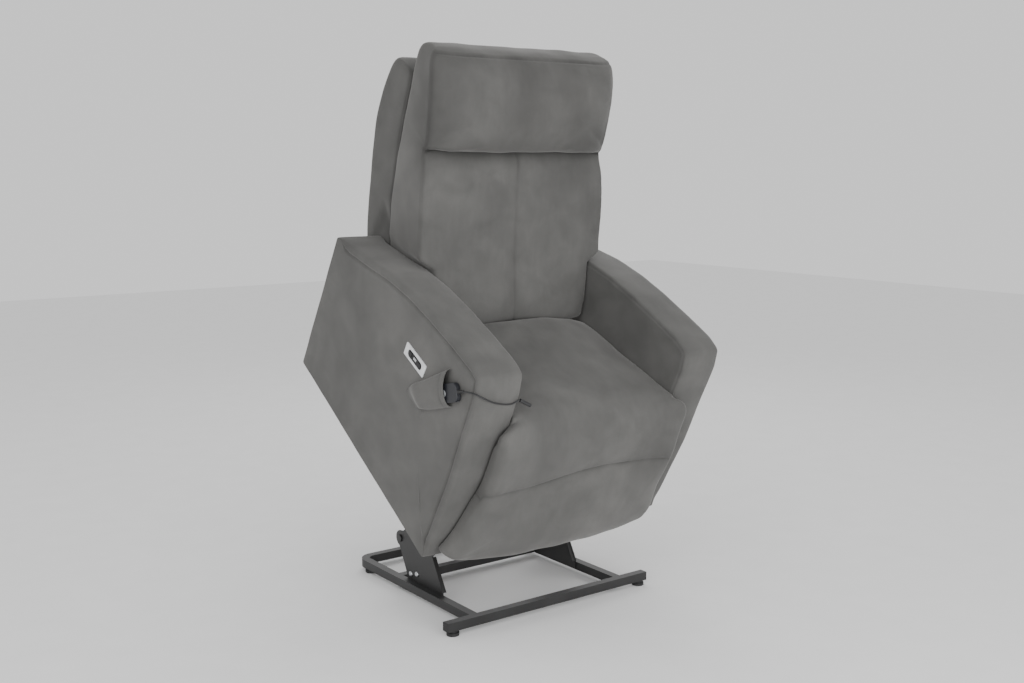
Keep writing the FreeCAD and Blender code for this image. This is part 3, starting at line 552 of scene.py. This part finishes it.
def arm(name, side):
    """Upholstered arm: outer panel, wrapped band and inner panel. The band's seams follow the front and the
    top, and the rear and bottom edges are crisp."""
    edge = rounded_loop(ARM_CORNERS, 0)
    inside = smoothstep((edge[:, 1] - 4) / 45) * smoothstep((-4 - edge[:, 0]) / 30)
    soft = ARM_CRISP + (1 - ARM_CRISP) * inside

    def outline(x, inset, limit):
        loop = edge + (rounded_loop(ARM_CORNERS, inset) - edge) * soft[:, None]
        across = limit + (x - limit) * soft
        return np.column_stack([side * across, loop])

    def panel(x, inset, share):
        loop = edge + (rounded_loop(ARM_CORNERS, inset) - edge) * soft[:, None]
        return np.column_stack([np.full(len(loop), side * x), towards_core(loop, share)])

    rings = [panel(ARM_OUT, ARM_OUTER[0][1], share) for share in ARM_CLOSING[::-1]]
    rings += [outline(x, inset, ARM_OUT - 0.4) for x, inset in ARM_OUTER]
    rings += [outline(x, inset, x) for x, inset in ARM_BAND]
    rings += [outline(x, inset, ARM_IN + 0.4) for x, inset in ARM_INNER]
    rings += [panel(ARM_IN, ARM_INNER[-1][1], share) for share in ARM_CLOSING]
    obj = cover(name, rings)
    size = len(edge)
    sewn = [j for j in range(size) if soft[j] > 0.5]
    seams = []
    for ring in (len(ARM_CLOSING) + 4, len(ARM_CLOSING) + len(ARM_OUTER) + len(ARM_BAND) + 1):
        seams.append([ring * size + j for j in sewn])
    core = row([(0, *place) for place in ARM_CORE])[:, 1:]
    sew(obj, seams, depth=0.0009, ridge=0.0007, swell=0.0010, shade_strength=0.5, calm=core, seed=3 + side)
    paint(obj, SUEDE)
    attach(obj, "chair")
    return obj


# ---- seat and legrest ---------------------------------------------------------------
# Stations along the chaise: top at the middle (s, h), top at the side (s, h), underside (s, h), half width,
# sideways lean
SEAT_STATIONS = [
    (-350, 396, -346, 374, -352, 357, 271, 0), (-360, 422, -356, 384, -362, 357, 275, 0),
    (-381, 437, -381, 391, -385, 358, 276.5, 0), (-430, 444, -435, 401, -430, 361, 277, 0),
    (-500, 447, -500, 412, -500, 366, 277, 0), (-580, 450, -580, 426, -580, 371, 277, 0),
    (-660, 453, -660, 441, -660, 377, 277, 0), (-725, 455, -725, 453, -725, 381, 277, 0),
    (-762, 453, -764, 460, -758, 394, 278, 0), (-782, 448, -786, 464, -771, 412, 282, 0),
    (-797, 440, -802, 466, -780, 417, 298, 0), (-808, 428, -816, 462, -788, 417, 311, -1),
    (-817, 410, -829, 447, -794, 410, 318, -1), (-824, 390, -839, 424, -799, 400, 321, -2),
    (-829, 368, -847, 395, -793, 378, 320, -5), (-836, 335, -856, 350, -793, 340, 318, -8),
    (-842, 295, -865, 302, -793, 298, 318, -11), (-846, 262, -871, 263, -793, 262, 319, -13),
    (-849, 241, -873, 240, -793, 240, 321, -14),
]
BAND_STATIONS = [
    (-849, 241, -873, 240, -793, 240, 321, -14), (-856, 215, -876, 214, -793, 216, 324, -17),
    (-868, 180, -879, 180, -793, 180, 329, -20), (-885, 145, -883, 145, -793, 145, 335, -22),
    (-901, 108, -885, 108, -793, 108, 341, -25), (-910, 80, -881, 80, -793, 80, 347, -28),
    (-909, 58, -876, 58, -794, 58, 352, -31), (-902, 42, -870, 42, -804, 44, 353, -33),
    (-889, 34, -864, 34, -814, 36, 345, -32), (-868, 30, -852, 31, -824, 33, 320, -29),
]
WING_GAP = 5.0          # between the parts in front of the arms and the arms
WING_AT = (273.0, 281.0)
PAD_ACROSS = 41         # points across the top of a ring, odd so that one is in the middle
PAD_UNDER = 31
EDGE_RADII = (38.0, 20.0)   # rounding of the left and the right front edge
# How much the lower seam lies above its station: (x, rise)
SEAM_RISE = [
    (-336, 12), (-319, 34), (-290, 36), (-266, 33), (-193, 26), (-126, 32), (-60, 42), (-20, 49), (42, 53),
    (149, 54), (233, 56), (280, 56), (306, 46),
]
SEAM_ABOVE = 10.0       # stations over which the seam's rise fades, above it and below it
SEAM_BELOW = 7.0
SEAT_RINGS = 66
BAND_RINGS = 26
FREE_RINGS = 40         # seat rings that the seam's rise leaves alone
WING_TOP = 425          # the wings in front of the arms stay below this


def spread(count):
    """Places from -1 to 1, closer together towards the ends."""
    v = np.linspace(-1, 1, count)
    return 0.55 * v + 0.45 * np.sin(v * math.pi / 2)


def arm_front(h):
    """How far forward the arms' front edge is at a height."""
    corners = ARM_CORNERS[:6]
    return np.interp(h, [c[1] for c in corners], [c[0] for c in corners])


def chaise_ring(station):
    """One ring of the chaise: across the top, down the right edge, back underneath and up the left edge.
    In front of the arms its underside reaches back to them as wings."""
    top_s, top_h, side_s, side_h, under_s, under_h, half, lean = station
    ring = []
    for u in spread(PAD_ACROSS):
        share = abs(u) ** 2.4
        ring.append((lean + half * u, top_s + (side_s - top_s) * share, top_h + (side_h - top_h) * share))
    wing = smoothstep((half - WING_AT[1]) / 6.0) * (under_h < WING_TOP)
    wing_s = min(under_s, arm_front(under_h) - WING_GAP)
    into = np.array((under_s - side_s, under_h - side_h))
    into /= np.linalg.norm(into)
    for place, (x, s, h) in enumerate(ring):
        radius = EDGE_RADII[int(x > lean)]
        t = np.clip((abs(x - lean) - half + radius) / radius, 0, 1)
        back = 0.8 * radius * (1 - math.sqrt(1 - t * t)) * wing
        ring[place] = (x, s + into[0] * back, h + into[1] * back)
    under = []
    for u in spread(PAD_UNDER)[::-1]:
        x = lean + (half - 1.0) * u
        out = smoothstep((abs(x) - WING_AT[0]) / (WING_AT[1] - WING_AT[0])) * wing
        under.append((x, under_s + (wing_s - under_s) * out, under_h))

    def edge(top, low, way):
        top, low = np.array(top), np.array(low)
        places = ((0.10, 1.0), (0.35, 2.0), (0.80, 1.5))
        return [tuple(top + (low - top) * t + np.array([way * out, 0, 0])) for t, out in places]

    right = edge(ring[-1], under[0], 1)
    left = edge(ring[0], under[-1], -1)[::-1]
    return ring + right + under + left


def chaise():
    """Seat, front fold and legrest in one long pad, with the lower band sewn on below."""
    seat = through(SEAT_STATIONS, SEAT_RINGS)
    band = through(BAND_STATIONS, BAND_RINGS)
    before = seat[-1] + (seat[-2] - seat[-1]) * 0.3
    after = band[0] + (band[1] - band[0]) * 0.3
    stations = [*seat[:-1], before, seat[-1], after, *band[1:]]
    seam_ring = len(seat)
    rings = [chaise_ring(s) for s in stations]
    for i, ring in enumerate(rings):
        reach = SEAM_BELOW if i > seam_ring else SEAM_ABOVE
        near = math.exp(-((i - seam_ring) / reach) ** 2) if i > FREE_RINGS else 0.0
        for j in range(PAD_ACROSS):
            x, s, h = ring[j]
            ring[j] = (x, s, h + near * np.interp(x, *zip(*SEAM_RISE)))
    obj = cover("chaise_pad", rings)
    size = len(rings[0])
    pinned = set()
    for i in range(len(rings)):
        pinned |= {i * size + j for j in range(PAD_ACROSS + 3, PAD_ACROSS + 3 + PAD_UNDER)}
        pinned |= {i * size, i * size + PAD_ACROSS - 1}
        if i in (0, 1, 2, seam_ring) or i > len(rings) - 5:
            pinned |= {i * size + j for j in range(size)}
    puff(obj, sorted(pinned), pressure=2.4, most=0.014)
    across = [seam_ring * size + j % size for j in range(-3, PAD_ACROSS + 3)]
    sew(obj, [across], depth=0.0013, width=0.003, swell=0.0024, shade_strength=0.75, seed=9)
    paint(obj, SUEDE)
    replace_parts(obj, "seat_cushion", "seat_front_fold", "legrest_pad", "legrest_lower_band")
    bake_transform(obj)


# ---- back ---------------------------------------------------------------------------
# Stations up the back and over the headrest: front at the middle (s, h), front at the side (s, h),
# rear (s, h), half width at the front and at the rear, how much the front is pulled in as a crease
BACK_STATIONS = [
    (-318, 378, -300, 366, -150, 336, 270, 270, 0), (-344, 396, -326, 380, -124, 342, 274.5, 274, 0),
    (-353, 421, -340, 402, -100, 362, 276, 275, 0), (-338, 455, -328, 440, -74, 405, 277, 276, 0),
    (-306, 502, -306, 490, -47, 470, 322, 290, 0), (-270, 555, -276, 546, -18, 545, 324, 292, 0),
    (-252, 582, -256, 576, -8, 575, 324, 293, 0), (-236, 610, -236, 606, 4, 604, 324, 294, 0),
    (-200, 672, -202, 675, 24, 675, 324, 296, 0), (-160, 745, -162, 742, 45, 748, 323, 296, 0.1),
    (-139, 784, -136, 784, 57, 790, 319, 295, 0.25), (-126, 808, -119, 804, 61, 812, 316, 295, 0.5),
    (-108, 823, -108, 819, 63, 824, 314, 295, 0.85), (-78, 830, -103, 830, 65, 832, 313, 295, 1),
]
HEADREST_STATIONS = [
    (-78, 830, -103, 830, 65, 832, 313, 295, 1), (-108, 836, -101, 838, 66, 840, 312.5, 295, 0.85),
    (-132, 846, -101, 849, 68, 851, 313, 295, 0.5), (-139, 864, -99, 868, 71, 868, 314, 295, 0.2),
    (-130, 896, -88, 900, 77, 896, 316, 296, 0), (-113, 940, -71, 944, 84, 936, 318, 296, 0),
    (-95, 985, -52, 988, 92, 977, 319, 296, 0), (-78, 1028, -30, 1026, 96, 1012, 319, 296, 0),
    (-64, 1055, -15, 1046, 96, 1034, 318, 296, 0), (-48, 1071, -6, 1061, 92, 1050, 315, 295, 0),
    (-26, 1079, 0, 1071, 82, 1062, 310, 293, 0), (0, 1083, 12, 1077, 69, 1070, 303, 290, 0),
    (24, 1082, 28, 1079, 54, 1076, 294, 286, 0),
]
BACK_ACROSS = 45        # points across the front of a ring, the rear, and down each side
BACK_REAR = 21
BACK_SIDE = 7
BACK_CREST_S = -22.0    # where the seam over the headrest's top runs
BETWEEN_ARMS = 277.0    # half width of what fits there
CREASE = (0, -110, 834)         # under the headrest
BULGE = 12.0            # how far each of the two panels bows forward
BULGE_TOP = 832         # the headrest above this doesn't bow
CREASE_SAG = 3.0        # waviness of the crease
BACK_TURN = 12.0        # rounding of the rear corners
BACK_RINGS = 46
HEADREST_RINGS = 36


def beside_arms(half, s, h):
    """Half width of the back at a place: between the arms below their tops, full above them."""
    tops = ARM_CORNERS[6:14]
    over = smoothstep((h - np.interp(s, [c[0] for c in tops], [c[1] for c in tops]) - 2) / 24)
    return BETWEEN_ARMS + max(half - BETWEEN_ARMS, 0) * over + min(half - BETWEEN_ARMS, 0)


def back_ring(station):
    """One ring of the back: across the front, round the right side, across the rear and round the left."""
    front_s, front_h, side_s, side_h, rear_s, rear_h, half, rear_half, flat = station
    full = half
    half = beside_arms(full, side_s, side_h)
    below = smoothstep((BULGE_TOP - front_h) / 60)
    power = 2.4 + 8.0 * smoothstep((front_h - 400) / 150)
    ring = []
    for u in spread(BACK_ACROSS):
        share = abs(u) ** power
        bulge = BULGE * below * math.sin(math.pi * min(1.0, abs(u))) ** 0.8
        sag = flat * CREASE_SAG * math.sin(half * u / 60.0)
        ring.append((
            half * u, front_s + (side_s - front_s) * share - bulge,
            front_h + (side_h - front_h) * share + sag,
        ))
    corner = np.array((full, *ring[-1][1:]))
    rear = np.array((rear_half, rear_s, rear_h))
    run = np.linalg.norm(rear - corner)
    ahead = (rear - corner) / run
    turn = min(BACK_TURN, 0.3 * run)
    edge = [corner + ahead * (run - turn) * t for t in (0.08, 0.25, 0.45, 0.65, 0.85, 1.0)]
    edge.append(corner + ahead * (run - 0.3 * turn) - np.array([0.3 * turn, 0, 0]))
    edge = [np.array((beside_arms(p[0], p[1], p[2]), p[1], p[2])) for p in edge]
    back = [((rear_half - turn) * u, rear_s, rear_h) for u in np.linspace(1, -1, BACK_REAR)]
    other = [p * np.array([-1, 1, 1]) for p in edge[::-1]]
    return ring + [tuple(p) for p in edge] + back + [tuple(p) for p in other]


def back_pad():
    """Two puffed panels sewn down the middle, and the headrest above them in the same side boxing."""
    low = through(BACK_STATIONS, BACK_RINGS)
    high = through(HEADREST_STATIONS, HEADREST_RINGS)
    stations = [*low, *high[1:]]
    rings = [back_ring(s) for s in stations]
    crease = len(low) - 1
    crest = min(i for i, s in enumerate(stations) if i > crease and s[0] > BACK_CREST_S)
    obj = cover("back_pad", rings)
    size = len(rings[0])
    middle = BACK_ACROSS // 2
    rear = BACK_ACROSS + BACK_SIDE
    pinned = set()
    for i in range(len(rings)):
        pinned |= {i * size, i * size + BACK_ACROSS - 1}
        pinned |= {i * size + j for j in range(rear - 2, rear + BACK_REAR + 2)}
        if i < crease:
            pinned.add(i * size + middle)
        if abs(i - crease) < 2 or i == crest:
            pinned |= {i * size + j for j in range(BACK_ACROSS)}
        if i < 2 or i > len(rings) - 4:
            pinned |= {i * size + j for j in range(size)}
    puff(obj, sorted(pinned), pressure=3.4, most=0.020)
    seam = [i * size + middle for i in range(1, crease)]
    valley = [crease * size + j for j in range(BACK_ACROSS)]
    border = [i * size for i in range(1, crest + 1)]
    border += [crest * size + j for j in range(1, BACK_ACROSS)]
    border += [i * size + BACK_ACROSS - 1 for i in range(crest - 1, 0, -1)]
    # Painted shade: strongest in the crease under the headrest, and over the headrest above it.
    sew(
        obj, [seam, valley, border], (0.55, 1.5, 0.75),
        depth=0.0026, width=0.0045, ridge=0.0006, swell=0.0026, nap_and_shade=row(CREASE)[2], seed=14,
    )
    paint(obj, SUEDE)
    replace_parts(obj, "back_cushion", "headrest_pillow")
    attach(obj, "back")


# Outer wrap: front (s, h), rear (s, h), half width
WRAP_STATIONS = [
    (-110, 330, 34, 328, 272), (-96, 356, 46, 352, 278), (-68, 412, 70, 412, 288), (-40, 490, 108, 494, 291),
    (-4, 585, 146, 588, 291), (18, 655, 174, 655, 291), (40, 730, 197, 722, 291.5), (61, 800, 211, 790, 292),
    (76, 870, 214, 860, 292), (86, 915, 212, 905, 291.5), (93, 938, 207, 934, 290),
    (101, 952, 199, 950, 287.5), (112, 959, 188, 958, 283),
]
WRAP_CORNER = 18.0
WRAP_NARROW = 277.0     # half width beside the arms
WRAP_CROWN = 5.0        # how far the rear bows out
WRAP_FACE = 25          # points across the flat front


def wrap_ring(station):
    """One ring of the outer back: right side, rear, left side and flat front."""
    front_s, front_h, rear_s, rear_h, half = station
    depth = np.array((rear_s - front_s, rear_h - front_h))
    run = np.linalg.norm(depth)
    corner = min(WRAP_CORNER, 0.45 * run)
    lift = depth / run

    def at(x, back):
        s, h = front_s + lift[0] * back, front_h + lift[1] * back
        clear = max(smoothstep((s - 22) / 14), smoothstep((h - 520) / 70))
        limit = min(half, WRAP_NARROW) + max(half - WRAP_NARROW, 0) * clear
        return (x * limit / half, s, h)

    side = [at(half - 3.0, 1.5)] + [at(half, t) for t in np.linspace(8.0, run - corner, 12)]
    bend = [
        at(half - corner * (1 - math.cos(a)), run - corner * (1 - math.sin(a)))
        for a in np.linspace(0, math.pi / 2, 8)[1:]
    ]
    flat = half - corner
    crown = [at(x, run + WRAP_CROWN * (1 - (x / flat) ** 2)) for x in np.linspace(flat, 0, 13)[1:]]
    right = side + bend + crown
    left = [(-x, s, h) for x, s, h in right[-2::-1]]
    face = [at(x, 0.0) for x in np.linspace(-(half - 9.0), half - 9.0, WRAP_FACE)]
    return right + left + face


def back_wrap():
    """Cloth-covered shell round the back of the chair."""
    rings = [wrap_ring(s) for s in through(WRAP_STATIONS, 46)]
    obj = cover("back_wrap", rings)
    size = len(rings[0])
    edge = [i * size + 1 for i in range(2, len(rings))]
    other = [i * size + size - WRAP_FACE - 2 for i in range(2, len(rings))]
    sew(obj, [edge, other], depth=0.0, pucker=0.0004, swell=0.0022, seed=31)
    paint(obj, SUEDE)
    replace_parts(obj, "outer_back")
    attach(obj, "back")


def tube(name, points, radii, sides):
    """Round skin along row-frame points, with a radius at each, closed at both ends."""
    points = np.asarray(points, float)
    up = Vector((0.31, 0.17, 0.93))     # any direction the run doesn't follow
    verts = []
    faces = []
    last = len(points) - 1
    for i, (p, radius) in enumerate(zip(points, radii)):
        ahead = Vector(points[min(i + 1, last)] - points[max(i - 1, 0)]).normalized()
        first = ahead.cross(up).normalized()
        second = ahead.cross(first)
        for k in range(sides):
            a = 2 * math.pi * k / sides
            verts.append(Vector(p) + (first * math.cos(a) + second * math.sin(a)) * radius)
    for i in range(last):
        for k in range(sides):
            j = (k + 1) % sides
            faces.append((i * sides + k, i * sides + j, (i + 1) * sides + j, (i + 1) * sides + k))
    faces.append(tuple(range(sides))[::-1])
    faces.append(tuple(last * sides + k for k in range(sides)))
    return new_object(name, verts, faces)


# ---- cloth panels -------------------------------------------------------------------
def cloth_panel(name, front, rear, half, seams=(), seed=41):
    """Panel between two (s, h) curves, from side to side."""
    count = len(front)
    rings = []
    for i in range(count):
        ring = [(half * u, *front[i]) for u in np.linspace(-1, 1, 33)]
        ring += [(half * u, *rear[i]) for u in np.linspace(1, -1, 33)]
        rings.append(ring)
    obj = cover(name, rings)
    size = len(rings[0])
    lines = [[ring * size + 33 + j for j in range(33)] for ring in seams]
    sew(obj, lines, swell=0.0016, seed=seed)
    paint(obj, SUEDE)
    return obj


def thin_panels():
    """Apron and flap at the rear, and the cloth that closes the gap between seat and back."""
    low = through([(-20, 22), (-22, 60), (-22, 120), (-20, 163)], 14)
    back = through([(-11, 22), (-7, 60), (-7, 120), (-11, 163)], 14)
    apron = cloth_panel("rear_apron_cover", low, back, 281.0, seams=(2, 11))
    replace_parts(apron, "rear_apron")
    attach(apron, "chair")
    front = through([(-20, 160), (-16, 185), (-2, 240), (14, 300), (22, 332)], 18)
    rear = through([(-15, 160), (-10, 185), (4, 240), (20, 300), (28, 332)], 18)
    flap = cloth_panel("rear_flap_cover", front, rear, 276.0, seed=43)
    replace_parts(flap, "rear_flap")
    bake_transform(flap)
    front = through([(-338, 322), (-334, 340), (-326, 360), (-312, 378)], 14)
    rear = through([(-334, 320), (-330, 338), (-322, 358), (-308, 376)], 14)
    pull = cloth_panel("seat_gap_cover", front, rear, 268.0, seed=47)
    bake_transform(pull)


# ---- handset pocket and cord --------------------------------------------------------
POCKET_REAR = [(-641, 536), (-602, 482), (-560, 424), (-526, 380), (-506, 336)]
POCKET_FRONT = [(-698, 453), (-682, 435), (-654, 405), (-618, 369), (-574, 333)]
POCKET_HIGH = 22.0
POCKET_THICK = 1.8


def pocket():
    """Slack pouch sewn to the arm's outer face, open towards the front, with a hemmed mouth."""
    along, across = 27, 25
    rear = through(POCKET_REAR, along)
    front = through(POCKET_FRONT, along)

    def surface(i, j, lift):
        a = j / (across - 1)
        b = i / (along - 1)
        s, h = rear[i] + (front[i] - rear[i]) * a
        full = math.sin(math.pi * a) ** 0.3 * (1 - smoothstep((b - 0.72) / 0.28))
        hem = 1.6 * smoothstep((0.10 - b) / 0.04) if lift > 0 else 0.0
        pull = 10.0 * math.sin(math.pi * a) * (1 - b) ** 3
        s += pull * 0.72
        h -= pull * 0.68
        high = 0.8 + (POCKET_HIGH - 0.8) * full + hem * min(1.0, full * 1.4)
        return (-(ARM_OUT + max(high + lift, 0.2)), s, h)

    outer = [[surface(i, j, POCKET_THICK / 2) for j in range(across)] for i in range(along)]
    inner = [[surface(i, j, -POCKET_THICK / 2) for j in range(across)] for i in range(along)]
    rings = [list(o) + list(n[::-1]) for o, n in zip(outer, inner)]
    obj = cover("handset_pouch", rings)
    size = len(rings[0])
    lines = [
        [i * size for i in range(along)], [i * size + across - 1 for i in range(along)],
        [3 * size + j for j in range(across)],
    ]
    sew(obj, lines, depth=0.0004, width=0.003, pucker=0.0007, swell=0.0012, seed=51)
    paint(obj, SUEDE)
    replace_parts(obj, "handset_pocket")
    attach(obj, "chair")


CORD_POINTS = [
    (-429, -706, 513), (-431, -746, 550), (-414, -778, 556), (-374, -780, 534),
    (-332, -781, 522), (-306, -781, 521), (-290, -778, 530),
]
CORD_DIAMETER = 0.0045


def handset_cord():
    """Cord from the handset's end over the arm's front to the connector by the seat."""
    points = row(CORD_POINTS)
    curve = bpy.data.curves.new("handset_cord_run", "CURVE")
    curve.dimensions = "3D"
    spline = curve.splines.new("NURBS")
    spline.points.add(len(points) - 1)
    for place, point in zip(spline.points, points):
        place.co = (*point, 1.0)
    spline.order_u = 3
    spline.use_endpoint_u = True
    spline.resolution_u = 16
    curve.bevel_depth = CORD_DIAMETER / 2
    curve.bevel_resolution = 4
    curve.use_fill_caps = True
    obj = bpy.data.objects.new("handset_cord_run", curve)
    bpy.context.scene.collection.objects.link(obj)
    curve.materials.append(FINISHES["cord_jacket"])
    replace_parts(obj, "handset_cord")
    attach(obj, "chair")


def cord_boot():
    """Ribbed strain relief where the cord leaves the handset."""
    start, towards = (Vector(p) for p in row(CORD_POINTS[:2]))
    ahead = (towards - start).normalized()
    places = []
    radii = []
    for k in range(7):
        rib = 0.0056 - 0.0003 * k
        for offset, radius in ((0.0, rib), (0.0022, rib), (0.0024, rib - 0.0012), (0.0034, rib - 0.0012)):
            places.append(start + ahead * (0.0036 * k + offset))
            radii.append(radius)
    boot = tube("cord_boot", places, radii, 16)
    paint(boot, FINISHES["cord_jacket"])
    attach(boot, "chair")


# ---- stage --------------------------------------------------------------------------
def stage():
    low = cad_box[0][2]
    floor = new_object("floor", [(-9, -9, low), (9, -9, low), (9, 9, low), (-9, 9, low)], [(0, 1, 2, 3)])
    pale = Surface("floor_paint", (0.86, 0.86, 0.86), 0.9)
    speck = pale.noise(8.0, 2.0)
    pale.colour(pale.ramp(speck, [(0.3, (0.85, 0.85, 0.85)), (0.7, (0.87, 0.87, 0.87))]))
    paint(floor, pale.material)
    world = bpy.data.worlds.new("studio")
    world.use_nodes = True
    world.node_tree.nodes["Background"].inputs["Color"].default_value = (1.0, 1.0, 1.0, 1.0)
    world.node_tree.nodes["Background"].inputs["Strength"].default_value = 0.94
    bpy.context.scene.world = world


def lamp(name, place, target, size, power):
    light = bpy.data.lights.new(name, "AREA")
    light.shape = "RECTANGLE"
    light.size, light.size_y = size
    light.energy = power
    obj = bpy.data.objects.new(name, light)
    obj.location = place
    obj.rotation_euler = (Vector(target) - Vector(place)).to_track_quat("-Z", "Y").to_euler()
    bpy.context.scene.collection.objects.link(obj)


def camera():
    """Camera at the angle the chair is shown from."""
    data = bpy.data.cameras.new("camera")
    data.lens = 43.06
    data.sensor_width = 36.0
    obj = bpy.data.objects.new("camera", data)
    obj.location = (-2.11855, -2.90144, 1.28407)
    obj.rotation_euler = (math.radians(81.65), 0.0, math.radians(-36.51))
    bpy.context.scene.collection.objects.link(obj)
    bpy.context.scene.camera = obj


# ---- build --------------------------------------------------------------------------
paint_frame()
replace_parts(arm("arm_cover_left", 1), "arm_upholstery_left")
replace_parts(arm("arm_cover_right", -1), "arm_upholstery_right")
chaise()
back_pad()
back_wrap()
thin_panels()
pocket()
handset_cord()
cord_boot()
stage()
lamp("key", (-3.0, -2.2, 2.2), (0, 0, 0.8), (2.2, 2.2), 47)
lamp("front", (-0.6, -3.6, 0.9), (0, 0, 0.9), (2.4, 1.6), 78)
lamp("rim", (1.8, 2.2, 3.0), (0, 0, 0.9), (2.0, 2.0), 25)
camera()
